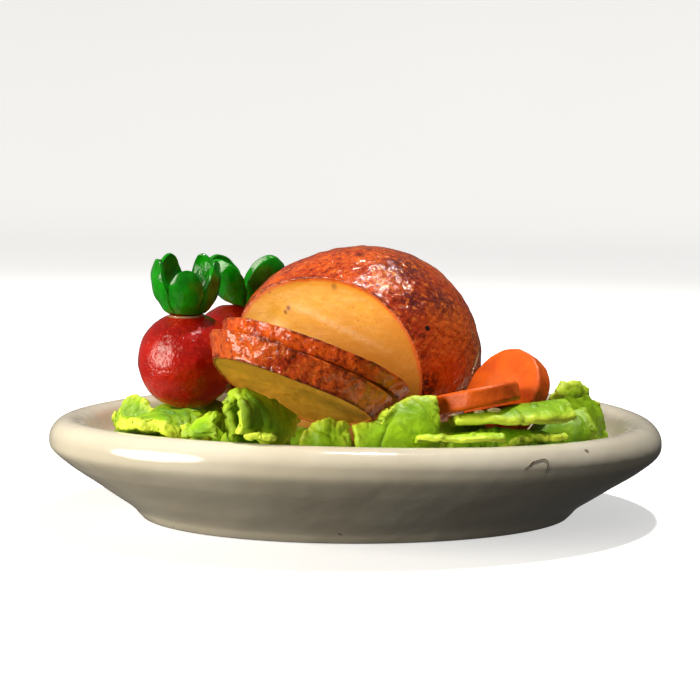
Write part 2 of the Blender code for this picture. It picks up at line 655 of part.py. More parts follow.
def main():
    clear_scene()
    build_plate()
    build_joint()
    for name, spec in SLICES.items():
        build_slice(name, spec)
    for name, spec in TOMATOES.items():
        build_tomato(name, **spec)
    for name, spec in CROWNS.items():
        build_crown(name, **spec)
    for name, spec in CARROTS.items():
        build_carrot(name, **spec)
    solids = solids_round_leaves()
    for name, spec in LEAVES.items():
        build_leaf(name, spec, solids)


main()
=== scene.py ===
# Dolls' house roast gammon on its platter: the looks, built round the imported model.
# Sizes are in millimetres unless a line says otherwise.

import math

import bmesh
import bpy
import numpy as np
from mathutils import Matrix, Vector, noise


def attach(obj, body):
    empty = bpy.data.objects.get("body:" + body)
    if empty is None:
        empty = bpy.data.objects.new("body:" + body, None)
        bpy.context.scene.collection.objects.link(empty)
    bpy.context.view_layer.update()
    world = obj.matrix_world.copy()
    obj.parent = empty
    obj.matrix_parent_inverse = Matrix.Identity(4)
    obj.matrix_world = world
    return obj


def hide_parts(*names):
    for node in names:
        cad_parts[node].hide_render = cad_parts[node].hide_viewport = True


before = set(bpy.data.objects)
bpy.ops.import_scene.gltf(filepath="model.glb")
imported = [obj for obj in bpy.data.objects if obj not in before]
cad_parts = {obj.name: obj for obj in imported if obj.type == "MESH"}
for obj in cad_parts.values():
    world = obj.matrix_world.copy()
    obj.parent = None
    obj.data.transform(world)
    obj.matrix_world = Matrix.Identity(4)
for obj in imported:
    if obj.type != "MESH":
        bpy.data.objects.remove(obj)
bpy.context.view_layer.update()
mm = 0.001
gap = 0.05  # between two pieces that touch


# Nodes

class Wire:  # an output socket that can be used in sums
    def __init__(self, tree, socket):
        self.tree, self.socket = tree, socket

    def maths(self, operation, first, second):
        return add(self.tree, "ShaderNodeMath", {"operation": operation}, {0: first, 1: second})

    def __add__(self, other):
        return self.maths("ADD", self, other)

    def __sub__(self, other):
        return self.maths("SUBTRACT", self, other)

    def __rsub__(self, other):
        return self.maths("SUBTRACT", other, self)

    def __mul__(self, other):
        return self.maths("MULTIPLY", self, other)

    def __truediv__(self, other):
        return self.maths("DIVIDE", self, other)

    __radd__, __rmul__ = __add__, __mul__


def add(tree, kind, settings, sockets, output=0):
    node = tree.nodes.new(kind)
    for name, value in settings.items():
        setattr(node, name, value)
    for key, value in sockets.items():
        if isinstance(value, Wire):
            tree.links.new(value.socket, node.inputs[key])
        else:
            node.inputs[key].default_value = value
    return Wire(tree, node.outputs[output])


def between(value, low, high):  # 0 below low, 1 above high, smooth in between
    return add(value.tree, "ShaderNodeMapRange", {"interpolation_type": "SMOOTHSTEP"},
               {"Value": value, "From Min": low, "From Max": high})


def blend(share, first, second):  # of two colours
    return add(share.tree, "ShaderNodeMix", {"data_type": "RGBA"}, {0: share, 6: first, 7: second}, 2)


def cloud(here, scale, detail=3.0, roughness=0.5, kind="FBM"):
    return add(here.tree, "ShaderNodeTexNoise", {"noise_type": kind},
               {"Vector": here, "Scale": scale, "Detail": detail, "Roughness": roughness})


def cells(here, scale):
    return add(here.tree, "ShaderNodeTexVoronoi", {}, {"Vector": here, "Scale": scale})


def stretched(here, scale):
    return add(here.tree, "ShaderNodeMapping", {}, {"Vector": here, "Scale": scale})


def parted(here, key):  # one of the three parts, X, Y or Z
    return add(here.tree, "ShaderNodeSeparateXYZ", {}, {0: here}, key)


def patches(here, scale, low, high, detail=3.0, roughness=0.5):  # a cloud parted into bare and covered places
    return between(cloud(here, scale, detail, roughness), low, high)


def dots(here, scale, low, high):  # round dots, some way apart
    return 1 - between(cells(here, scale), low, high)


def near(here, point, reach, softness):  # 1 at the point, 0 further away than reach
    apart = add(here.tree, "ShaderNodeVectorMath", {"operation": "DISTANCE"}, {0: here, 1: point}, "Value")
    return 1 - between(apart, reach * (1 - softness), reach)


def attribute(here, name):
    return add(here.tree, "ShaderNodeAttribute", {"attribute_name": name}, {}, "Fac")


def tone(red, green, blue):  # a screen colour, 0 to 255, as the shader wants it
    return (*(((c / 255 + 0.055) / 1.055) ** 2.4 if c > 10 else c / 3295 for c in (red, green, blue)), 1.0)


def tones(**colours):
    return {name: tone(*colour) for name, colour in colours.items()}


def coat(colour, *layers):  # one colour after another over the first, each where its share is high
    for share, over in layers:
        colour = blend(share, colour, over)
    return colour


def makeMaterial(name, make, fixed):
    material = bpy.data.materials.new(name)
    material.use_nodes = True
    tree = material.node_tree
    shader = tree.nodes["Principled BSDF"]
    for key, value in fixed.items():
        shader.inputs[key].default_value = value
    place = add(tree, "ShaderNodeTexCoord", {}, {}, "Object")
    here = add(tree, "ShaderNodeVectorMath", {"operation": "SCALE"}, {0: place, "Scale": 1 / mm})
    made = make(here)
    if "Height" in made:
        made["Normal"] = add(tree, "ShaderNodeBump", {}, {"Height": made.pop("Height"), "Distance": mm}, "Normal")
    for key, value in made.items():
        tree.links.new(value.socket, shader.inputs[key])
    return material


def makeClay(name, look, shine, glow, reach, bleed):  # clay that lets a little light in
    return makeMaterial(name, look, {"Specular IOR Level": shine, "Subsurface Weight": glow,
                                     "Subsurface Scale": reach * mm, "Subsurface Radius": bleed})


def grow(name, start, treeName, build, given):  # runs the nodes on the starting mesh and keeps a plain mesh
    tree = bpy.data.node_groups.new(treeName, "GeometryNodeTree")
    tree.interface.new_socket(name="Geometry", in_out="INPUT", socket_type="NodeSocketGeometry")
    tree.interface.new_socket(name="Geometry", in_out="OUTPUT", socket_type="NodeSocketGeometry")
    for label, value in given.items():
        kind = {float: "Float", int: "Int"}.get(type(value), "Material")
        tree.interface.new_socket(name=label, in_out="INPUT", socket_type="NodeSocket" + kind)
    entry, end = tree.nodes.new("NodeGroupInput"), tree.nodes.new("NodeGroupOutput")
    made = build(tree, {label: Wire(tree, entry.outputs[label]) for label in ["Geometry", *given]})
    tree.links.new(made.socket, end.inputs[0])
    seedling = bpy.data.objects.new(name + ".start", start)
    bpy.context.scene.collection.objects.link(seedling)
    modifier = seedling.modifiers.new("grow", "NODES")
    modifier.node_group = tree
    for item in tree.interface.items_tree:
        if item.in_out == "INPUT" and item.name in given:
            modifier[item.identifier] = given[item.name]
    depsgraph = bpy.context.evaluated_depsgraph_get()
    mesh = bpy.data.meshes.new_from_object(seedling.evaluated_get(depsgraph), depsgraph=depsgraph)
    seedling.modifiers.remove(modifier)
    bpy.data.objects.remove(seedling)
    mesh.name = name
    return mesh


# Meshes

def unit(vector):
    return np.asarray(vector, float) / np.linalg.norm(vector)


def unitRows(vectors):
    return vectors / np.maximum(np.linalg.norm(vectors, axis=-1, keepdims=True), 1e-9)


def axesAbout(axis):  # right and upward, square to the axis, for a viewer who looks along +Y
    axis = unit(axis)
    right = unit((1, 0, 0) - axis[0] * axis)
    upward = np.cross(axis, right)
    return right, upward if upward[2] > 0 or abs(axis[2]) > 0.6 and upward[1] > 0 else -upward


def unevenness(points, size, seed):  # smooth and random, mostly -0.5 to 0.5, changing over the size
    points = np.asarray(points, float)
    shift = Vector((seed * 7.3, seed * 3.1, seed * 5.7))
    values = [noise.noise(Vector(point) / size + shift) for point in points.reshape(-1, 3)]
    return np.array(values).reshape(points.shape[:-1])


def skinRings(rings, firstPole, lastPole):  # a closed body through rings of equally many points
    rings = np.asarray(rings)
    rows, count = rings.shape[:2]
    points = np.concatenate([rings.reshape(-1, 3), [firstPole, lastPole]])
    first, last, end = rows * count, rows * count + 1, (rows - 1) * count
    faces = []
    for step in range(count):
        after = (step + 1) % count
        faces += [(first, after, step), (last, end + step, end + after)]
        for row in range(0, end, count):
            faces.append((row + step, row + after, row + after + count, row + step + count))
    return points, faces


def makeMesh(name, points, faces, **values):  # the values are kept at the points
    mesh = bpy.data.meshes.new(name)
    mesh.from_pydata((np.asarray(points) * mm).tolist(), [], faces)
    edit = bmesh.new()
    edit.from_mesh(mesh)
    bmesh.ops.recalc_face_normals(edit, faces=edit.faces)
    edit.to_mesh(mesh)
    edit.free()
    mesh.shade_smooth()
    for label, numbers in values.items():
        mesh.attributes.new(label, "FLOAT", "POINT").data.foreach_set("value", np.ravel(numbers).astype(np.float32))
    return mesh


def place(name, mesh, material, slot, *nodes):
    piece = bpy.data.objects.new(name, mesh)
    mesh.materials.clear()
    mesh.materials.append(material)
    bpy.context.scene.collection.objects.link(piece)
    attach(piece, "root")
    if nodes:
        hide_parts(*nodes)


def placeRound(name, rings, material, slot, *nodes, **values):  # skins the rings and places the piece
    points, faces = skinRings(rings, rings[0].mean(0), rings[-1].mean(0))
    place(name, makeMesh(name + "Mesh", points, faces, **values), material, slot, *nodes)


def turnsRound(count):
    return np.linspace(0, math.tau, count, endpoint=False)


def dents(points, seed, layers, sign=-1):  # how far the surface is pressed in, in layers of (depth, size)
    return sum(depth * (0.5 + sign * unevenness(points, size, seed + step))
               for step, (depth, size) in enumerate(layers))


def smoothLine(points, steps):  # an even curve through the points
    points = np.asarray(points, float)
    padded = np.concatenate([[2 * points[0] - points[1]], points, [2 * points[-1] - points[-2]]])
    line = []
    for a, b, c, d in zip(padded, padded[1:], padded[2:], padded[3:]):
        for t in np.arange(steps) / steps:
            line.append(b + 0.5 * t * (c - a + t * (2 * a - 5 * b + 4 * c - d + t * (3 * (b - c) + d - a))))
    return np.array(line + [points[-1]])


# Camera, light and floor

view = dict(
    lookAt=(0.0, 0.0, 5.0), distance=85.41, turn=-6.8, height=9.35, roll=-1.04,  # turns in degrees
    focalLength=1484.67, middle=(358.98, 426.85), picture=700, sensor=36,  # all but the sensor in picture points
)
studio = dict(
    windowFrom=(-0.90, -0.36, 0.24), windowDistance=240.0, windowSize=170.0, windowPower=0.90,
    windowColour=(1.0, 0.93, 0.80),
    lampFrom=(0.10, 0.05, 1.0), lampDistance=230.0, lampSize=13.0, lampPower=0.50, lampColour=(1.0, 0.97, 0.93),
    ambient=0.22, ambientColour=(1.0, 0.98, 0.95), ambientFrom=(-0.6, -0.05, 0.8), ambientSpread=0.9,
    underneath=0.03, background=0.55, floorRadius=420.0, wallHeight=430.0, floorSteps=64,
)


def makeCamera():
    turn, height, roll = (math.radians(view[key]) for key in ("turn", "height", "roll"))
    back = Vector((math.cos(height) * math.sin(turn), -math.cos(height) * math.cos(turn), math.sin(height)))
    right = Vector((math.cos(turn), math.sin(turn), 0))
    up = back.cross(right)
    right, up = right * math.cos(roll) - up * math.sin(roll), right * math.sin(roll) + up * math.cos(roll)
    data = bpy.data.cameras.new("camera")
    camera = bpy.data.objects.new("camera", data)
    bpy.context.scene.collection.objects.link(camera)
    camera.matrix_world = Matrix((right, up, back)).transposed().to_4x4()
    camera.location = (Vector(view["lookAt"]) + back * view["distance"]) * mm
    data.sensor_width = view["sensor"]
    data.lens = view["sensor"] * view["focalLength"] / view["picture"]
    data.shift_x = (view["picture"] / 2 - view["middle"][0]) / view["picture"]
    data.shift_y = (view["middle"][1] - view["picture"] / 2) / view["picture"]
    data.clip_start = 0.001
    bpy.context.scene.camera = camera


def areaLight(name, towards, distance, size, power, colour):
    data = bpy.data.lights.new(name, "AREA")
    data.shape, data.size, data.energy, data.color = "DISK", size * mm, power, colour
    light = bpy.data.objects.new(name, data)
    light.location = Vector(towards).normalized() * distance * mm
    light.rotation_euler = Vector(towards).to_track_quat("Z", "Y").to_euler()
    bpy.context.scene.collection.objects.link(light)


def makeStudio():
    for name in ("window", "lamp"):
        areaLight(name, *(studio[name + key] for key in ("From", "Distance", "Size", "Power", "Colour")))
    world = bpy.data.worlds.new("room")
    world.use_nodes = True
    tree = world.node_tree
    direction = add(tree, "ShaderNodeTexCoord", {}, {}, "Generated")
    facing = add(tree, "ShaderNodeVectorMath", {"operation": "DOT_PRODUCT"},
                 {0: direction, 1: tuple(Vector(studio["ambientFrom"]).normalized())}, "Value")
    above = between(facing, -studio["ambientSpread"], studio["ambientSpread"])
    strength = studio["underneath"] + above * (studio["ambient"] - studio["underneath"])
    tree.nodes["Background"].inputs["Color"].default_value = (*studio["ambientColour"], 1)
    tree.links.new(strength.socket, tree.nodes["Background"].inputs["Strength"])
    bpy.context.scene.world = world
    bpy.context.scene.view_settings.view_transform = "Standard"


def makeFloor():
    radius, wall, steps = studio["floorRadius"], studio["wallHeight"], studio["floorSteps"]
    profile = smoothLine([(0.45, 0), (0.7, 0), (0.85, 0.03), (0.96, 0.15), (1.0, 0.4), (1.0, 1.0)], 5)
    turns = np.linspace(0, math.tau, steps + 1)
    rings = [[(radius * r * math.cos(t), radius * r * math.sin(t), wall * z) for t in turns] for r, z in profile]
    points, faces = np.array(rings).reshape(-1, 3), []
    for row in range(0, (len(profile) - 1) * (steps + 1), steps + 1):
        faces += [(row + j, row + j + 1, row + j + steps + 2, row + j + steps + 1) for j in range(steps)]
    faces.append(tuple(range(steps)))
    mesh = makeMesh("floor", points, faces)
    mesh.flip_normals()

    def pale(here):
        return {"Base Color": blend(cloud(here, 0.02, 2.0), (0.80, 0.80, 0.79, 1), (0.84, 0.84, 0.83, 1))}

    fixed = {"Roughness": 0.9, "Emission Color": (1, 1, 1, 1), "Emission Strength": studio["background"]}
    mesh.materials.append(makeMaterial("paleFloor", pale, fixed))
    floor = bpy.data.objects.new("floor", mesh)
    floor.visible_diffuse = False
    floor.visible_glossy = False
    bpy.context.scene.collection.objects.link(floor)


makeCamera()
makeStudio()
makeFloor()
print("camera, light and floor made")


# Platter. An inset is measured inwards from the lip's outermost line.

plate = dict(
    length=35.0, depth=26.0, height=5.8, lipRadius=1.12, rimSlope=36.5, rimThickness=1.6,
    footInset=5.05, footSetback=0.12,
    foot=((0.0, 0.04), (0.2, 0.32), (0.45, 0.62), (0.87, 0.98), (1.66, 1.56), (2.62, 2.28)),
    wellHeight=1.9, wellInset=6.3, wellRise=0.12, rimInsets=(2.5, 3.7), underLip=((1.5, 2.95), (0.92, 3.40)),
    wave=0.24, waveTurn=227.0, waveInset=4.4, segments=300, rows=150,
    flutes=58, fluteDepth=0.035, fluteInset=3.2, fluteReach=1.9,
)


def plateWalls():
    slope, lip = math.radians(plate["rimSlope"]), plate["lipRadius"]
    middle = (lip, plate["height"] - lip)

    def onLip(angle):
        return middle[0] - lip * math.cos(math.radians(angle)), middle[1] + lip * math.sin(math.radians(angle))

    outside = [(plate["footInset"] - spread, height) for spread, height in plate["foot"]] + list(plate["underLip"])
    outside += [onLip(angle) for angle in (-28, 0, 25, 50, 70, 90)]
    top = middle[1] + (plate["rimThickness"] - lip) * math.cos(slope)
    start = middle[0] + (plate["rimThickness"] - lip) * math.sin(slope)
    inside = [onLip(angle) for angle in (115, 140)]
    onRim = (*plate["rimInsets"], plate["footInset"])
    inside += [(inset, top - (inset - start) * math.tan(slope)) for inset in onRim]
    inside.append(((plate["footInset"] + plate["wellInset"]) / 2, plate["wellHeight"] + plate["wellRise"]))
    inside.append((plate["wellInset"], plate["wellHeight"]))
    return outside, inside


def plateTree(tree, given):  # turns the profile (inset, share of the oval, height) round the oval
    grid = add(tree, "GeometryNodeMeshGrid", {},
               {"Size X": 1.0, "Size Y": 1.0, "Vertices X": given["Segments"], "Vertices Y": given["Rows"]}, "Mesh")
    curve = add(tree, "GeometryNodeMeshToCurve", {}, {"Mesh": given["Geometry"]})
    at = add(tree, "GeometryNodeInputPosition", {}, {})
    turn, across = (parted(at, "X") + 0.5) * math.tau, parted(at, "Y")
    found = add(tree, "GeometryNodeSampleCurve", {"use_all_curves": True},
                {"Curves": curve, "Factor": across + 0.5}, "Position")
    inset, share, height = (parted(found, key) for key in "XYZ")
    cosine, sine = (turn.maths(operation, turn, 0.0) for operation in ("COSINE", "SINE"))
    fade = turn.maths("MAXIMUM", 1 - inset / given["Wave inset"], 0.0)
    wave = given["Wave"] * fade * turn.maths("COSINE", turn * 2 + given["Wave turn"], 0.0)
    apart = turn.maths("ABSOLUTE", inset - plate["fluteInset"], 0.0)
    onRim = turn.maths("MAXIMUM", 1 - apart / plate["fluteReach"], 0.0)
    upper = turn.maths("GREATER_THAN", across, 0.02)  # the flutes are on the rim's inside
    flute = given["Flute depth"] * onRim * upper * (turn.maths("COSINE", turn * given["Flutes"], 0.0) - 1)
    moved = add(tree, "ShaderNodeCombineXYZ", {}, {
        "X": (given["Length"] / 2 - inset) * cosine * share,
        "Y": (given["Depth"] / 2 - inset) * sine * share,
        "Z": height + wave + flute * share,
    })
    scaled = add(tree, "ShaderNodeVectorMath", {"operation": "SCALE"}, {0: moved, "Scale": mm})
    body = add(tree, "GeometryNodeSetPosition", {}, {"Geometry": grid, "Position": scaled})
    body = add(tree, "GeometryNodeMergeByDistance", {}, {"Geometry": body, "Distance": 1e-6})
    body = add(tree, "GeometryNodeRealizeInstances", {}, {"Geometry": body})
    return add(tree, "GeometryNodeSetMaterial", {}, {"Geometry": body, "Material": given["Material"]})


glazeTones = tones(thick=(206, 197, 176), thin=(217, 209, 190), speck=(92, 70, 48))


def glazeLook(here):
    specks = dots(stretched(here, (1, 1, 1.4)), 0.42, 0.05, 0.09) * patches(here, 3.0, 0.5, 0.62, 2.0)
    colour = coat(blend(patches(here, 0.16, 0.35, 0.7), glazeTones["thick"], glazeTones["thin"]),
                  (specks * 0.8, glazeTones["speck"]))
    height = cloud(here, 0.35, 2.0) * 0.10 + cloud(here, 1.7, 2.0) * 0.010
    return {"Base Color": colour, "Roughness": 0.10 + cloud(here, 0.6, 3.0) * 0.10, "Height": height}


def makePlate():
    outside, inside = plateWalls()
    foot = plate["footInset"] + plate["footSetback"]
    line = [(foot, 0.0, 0.0), (foot, 0.55, 0.0), (foot, 0.985, 0.0)]
    line += [(p[0], 1.0, p[1]) for p in smoothLine([(foot - 0.06, 0.04)] + outside[1:] + inside, 5)]
    line += [(plate["wellInset"], share, plate["wellHeight"]) for share in (0.97, 0.9, 0.6, 0.3, 0.0)]
    profile = bpy.data.meshes.new("profile")
    profile.from_pydata(line, [(i, i + 1) for i in range(len(line) - 1)], [])
    glaze = makeMaterial("creamGlaze", glazeLook, {"IOR": 1.5, "Coat Weight": 0.35, "Coat Roughness": 0.05})
    mesh = grow("platter", profile, "turnedPlatter", plateTree, {
        "Length": plate["length"], "Depth": plate["depth"], "Wave": plate["wave"],
        "Wave turn": math.radians(plate["waveTurn"]), "Wave inset": plate["waveInset"],
        "Flutes": float(plate["flutes"]), "Flute depth": plate["fluteDepth"],
        "Segments": plate["segments"] + 1, "Rows": plate["rows"], "Material": glaze})
    edit = bmesh.new()
    edit.from_mesh(mesh)
    bmesh.ops.remove_doubles(edit, verts=edit.verts, dist=1e-6)
    bmesh.ops.dissolve_degenerate(edit, edges=edit.edges, dist=1e-7)
    bmesh.ops.recalc_face_normals(edit, faces=edit.faces)
    edit.to_mesh(mesh)
    edit.free()
    mesh.shade_smooth()
    place("platter", mesh, glaze, "glaze", "plate")


makePlate()
print("platter turned")


# Gammon joint: a ball of clay with its front cut away, fuller at the left of the cut face

joint = dict(
    centre=(0.69, 2.24, 8.59), radius=6.7, cutDirection=(-0.577, -0.811, -0.140), cutOffset=3.82,
    swell=0.24, swellAngle=161.0, swellSpread=39.0, swellEnd=0.35,
    segments=260, cutRings=46, skinRings=130, crinkle=0.06, flutter=0.035,
    lumpSize=1.1, fineLumps=0.6, fineLumpSize=0.5, ridgeSize=0.8,
)
cutFace = dict(  # across and high are measured from its middle; the knife left a shallow ridge
    ridgeDepth=0.10, ridgeHigh=3.75, ridgeFall=0.27, ridgeFrom=-3.2, ridgeSoftness=0.07,
    fadeIn=(-3.6, 1.0), fadeOut=(4.4, 3.0), dent=(-3.99, 2.74), dentDepth=0.16, dentSpread=0.25,
    waves=((0.05, 1.6), (0.02, 0.45)),
)
slices = {  # front one first: each lies on its narrow face, and droop is how far its far edge sags
    "slice_1": dict(
        top=(-3.85, -6.2, 9.25), up=(0.36, 0.22, 0.90), wide=5.15, narrow=4.6, thickness=1.4, droop=1.2, seed=11,
    ),
    "slice_2": dict(
        top=(-3.0, -5.0, 9.67), up=(0.35, 0.24, 0.90), wide=5.35, narrow=5.1, thickness=0.9, droop=0.25, seed=23,
    ),
}
sliceShape = dict(
    squareness=2.3, farHalf=0.76, edge=0.15, edgeBend=0.04, segments=260, faceRings=28,
    wallDents=((0.11, 0.9), (0.09, 0.35)), faceDents=((0.07, 1.5), (0.03, 0.4)),
)


def shoulder(along, turn):  # how much fuller than a ball the joint is
    behind = joint["swellEnd"] * joint["radius"]
    fade = np.clip((along + behind) / (joint["cutOffset"] + behind), 0, 1)
    apart = (np.degrees(turn) % 360 - joint["swellAngle"]) / joint["swellSpread"]
    return 1 + joint["swell"] * fade * np.exp(-apart * apart)


skinTones = tones(
    rind=(208, 84, 18), deep=(166, 50, 10), fleck=(84, 20, 6), spark=(224, 122, 38), bruise=(84, 28, 28),
    # The lighter orange on the next line is painted light for the joint's right side.
    # The very dark red on the next line is painted shadow below carrot_1's corner.
    amber=(232, 108, 14), scorch=(70, 12, 4), gold=(244, 118, 14), edge=(96, 22, 6), hole=(24, 8, 4),
)
fleshTones = tones(
    # pale on the next line is painted light for slice_1's dimly lit underside.
    # shade on the next line is painted shade for the cut face's lower part, under the slices.
    flesh=(230, 170, 56), deep=(220, 156, 42), stain=(206, 134, 30), shade=(172, 110, 26), pale=(255, 180, 50),
    border=(206, 130, 26), fleck=(140, 78, 14), pit=(120, 60, 18), underRind=(208, 96, 20),
)
gammonMarks = dict(  # places, most with a reach
    bruises=(((2.3, -0.9, 14.3), 2.0), ((4.4, -1.9, 12.4), 1.7), ((2.6, -2.8, 12.5), 1.3)),
    # The first place on the next line is where the joint's right side is painted lighter, as painted light.
    # The second place on the next line is a painted shadow below carrot_1's lower left corner.
    amber=((6.0, -2.6, 9.2), 4.2), scorch=((3.4, -4.0, 7.9), 1.1), hole=((3.31, -3.41, 11.06), 0.22),
    # pale on the next line is where slice_1's underside flesh is painted lighter, as painted light.
    gold=((1.0, -7.5, 8.8), (-0.9, -9.0, 8.3)), goldReach=2.8, pale=((-7.0, -8.6, 7.2), 6.5),
    pits=(((-4.13, 0.39, 11.77), 0.22), ((-4.29, 0.54, 11.53), 0.20), ((-1.78, -1.52, 13.1), 0.30),
          ((-2.1, -1.04, 11.69), 0.10), ((-0.55, -1.96, 10.61), 0.12), ((-5.18, 0.99, 12.6), 0.12)),
)


def gammonLook(here):
    marks, rind, meat = gammonMarks, skinTones, fleshTones
    skin = attribute(here, "skin")  # distance from the cut, in millimetres: more than 0 on the skin
    edge = skin + (cloud(here, 3.2, 4.0, 0.6) - 0.5) * 0.30
    freckle = cloud(here, 3.4, 5.0, 0.7)
    crinkle = cloud(stretched(here, (1.0, 1.0, 0.6)), 2.2, 5.0, 0.6, "RIDGED_MULTIFRACTAL")
    wrinkle = cloud(stretched(here, (1.0, 1.0, 0.14)), 4.2, 3.0, 0.5) * between(parted(here, "X"), 3.6, 5.4)
    dark, light = between(freckle, 0.36, 0.52) * 0.85, between(freckle, 0.70, 0.52)
    colour = coat(
        blend(patches(here, 0.45, 0.38, 0.64, 4.0, 0.6), rind["rind"], rind["deep"]),
        (between(freckle, 0.54, 0.64) * 0.8, rind["fleck"]),
        (between(freckle, 0.46, 0.38) * 0.6, rind["spark"]),
        *((near(here, point, reach, 0.8) * dark, rind["bruise"]) for point, reach in marks["bruises"]),
        # painted light: the joint's right side, which the lamps leave darker, is painted a lighter orange
        (near(here, *marks["amber"], 0.8) * 0.6, rind["amber"]),
        # painted shadow: a patchy dark red where carrot_1's corner shades the skin
        (near(here, *marks["scorch"], 0.8) * between(freckle, 0.44, 0.56), rind["scorch"]),
        *((near(here, point, marks["goldReach"], 0.7) * light, rind["gold"]) for point in marks["gold"]),
    )
    grain = cloud(stretched(here, (1.0, 1.0, 2.2)), 1.3, 4.0, 0.6)
    # painted shade: the cut face is darker low down, where the slices shade it
    low = (1 - between(parted(here, "Z"), 9.0, 12.6)) * between(parted(here, "Y"), -5.6, -4.2)
    flesh = coat(
        blend(between(grain, 0.35, 0.7), meat["flesh"], meat["deep"]),
        (patches(here, 0.30, 0.46, 0.70) * 0.45, meat["stain"]),
        (low * 0.65, meat["shade"]),
        # painted light: slice_1's underside flesh, which faces away from the lamps, is painted lighter
        (near(here, *marks["pale"], 0.7), meat["pale"]),
        (between(skin, -1.3, -0.1) * 0.4, meat["border"]),
        (patches(here, 6.5, 0.63, 0.7, 2.0) * 0.35, meat["fleck"]),
        *((near(here, point, reach, 0.7) * 0.8, meat["pit"]) for point, reach in marks["pits"]),
        (between(edge, -0.30, -0.12), meat["underRind"]),
    )
    nearCut = (1 - between(edge, 0.04, 0.26)) * patches(here, 1.1, 0.42, 0.58)
    colour = blend(between(edge, -0.06, 0.02), flesh, coat(colour, (nearCut * 0.85, rind["edge"])))
    colour = coat(colour, (near(here, *marks["hole"], 0.5), rind["hole"]))
    skinMask = between(edge, -0.12, 0.05)
    height = skinMask * (crinkle * 0.05 + freckle * 0.03 + cloud(here, 2.8, 2.0, 0.4) * 0.13 + wrinkle * 0.10)
    height = height + (1 - skinMask) * (grain * 0.03 + cloud(here, 5.0, 3.0) * 0.016)
    rough = 0.42 - skinMask * 0.40 + cloud(here, 1.4, 3.0) * 0.16
    return {"Base Color": colour, "Roughness": rough, "Height": height}


def makeJoint(material):
    centre, axis = np.array(joint["centre"]), unit(joint["cutDirection"])
    right, upward = axesAbout(axis)
    radius, offset = joint["radius"], joint["cutOffset"]
    first = math.acos(offset / radius)
    cutReach = radius * math.sin(first)
    turns = turnsRound(joint["segments"])
    rows = []  # (reach from the axis, distance along it, distance from the cut edge)
    for share in np.linspace(0.02, 0.985, joint["cutRings"]):
        rows.append((cutReach * share, offset, -cutReach * (1 - share)))
    rows.append((cutReach * 0.998, offset - 0.03, 0.0))
    for angle in np.linspace(first + 0.025, math.pi * 0.995, joint["skinRings"]):
        rows.append((radius * math.sin(angle), radius * math.cos(angle), radius * (angle - first)))
    rings, values = [], []
    for reach, along, fromCut in rows:
        wide = reach * shoulder(along, turns)
        ring = centre + axis * along + np.cos(turns)[:, None] * right * wide[:, None]
        rings.append(ring + np.sin(turns)[:, None] * upward * wide[:, None])
        values.append(np.full(len(turns), fromCut))
    rings, values = np.array(rings), np.array(values)
    spine = centre + axis * np.clip((rings - centre) @ axis, -radius, offset - 1.5)[..., None] * 0.3
    outward = unitRows(rings - spine)
    onSkin = np.clip(values / 0.5, 0, 1)
    lumps = unevenness(rings, joint["lumpSize"], 1) + joint["fineLumps"] * unevenness(rings, joint["fineLumpSize"], 2)
    ridges = 1 - 2 * np.abs(unevenness(rings * (1, 1, 0.5), joint["ridgeSize"], 3))
    sunk = joint["crinkle"] * (0.5 - lumps) + joint["flutter"] * (1 - ridges)
    rings = rings - outward * (onSkin * np.clip(sunk, 0, 1))[..., None]
    across, high = (rings - centre) @ right, (rings - centre) @ upward
    (start, fadingIn), (end, fadingOut), dentAt = cutFace["fadeIn"], cutFace["fadeOut"], cutFace["dent"]
    step = cutFace["ridgeHigh"] - cutFace["ridgeFall"] * (across - cutFace["ridgeFrom"])
    hollow = cutFace["ridgeDepth"] / (1 + np.exp(-(high - step) / cutFace["ridgeSoftness"]))
    hollow = hollow * np.clip((across - start) / fadingIn, 0, 1) * np.clip((end - across) / fadingOut, 0, 1)
    apart = (across - dentAt[0]) ** 2 + (high - dentAt[1]) ** 2
    dent = cutFace["dentDepth"] * np.exp(-apart / cutFace["dentSpread"])
    waves = dents(rings, 5, cutFace["waves"], 1)
    onCut = np.clip(-values / 0.4, 0, 1)
    rings = rings - axis * (onCut * (hollow + dent + waves))[..., None]
    rings[..., 2] = np.maximum(rings[..., 2], plate["wellHeight"] + gap)
    values = np.append(values.ravel(), (-cutReach, 9.0))
    placeRound("gammon_joint.skin", rings, material, "gammon", "gammon_joint", skin=values)


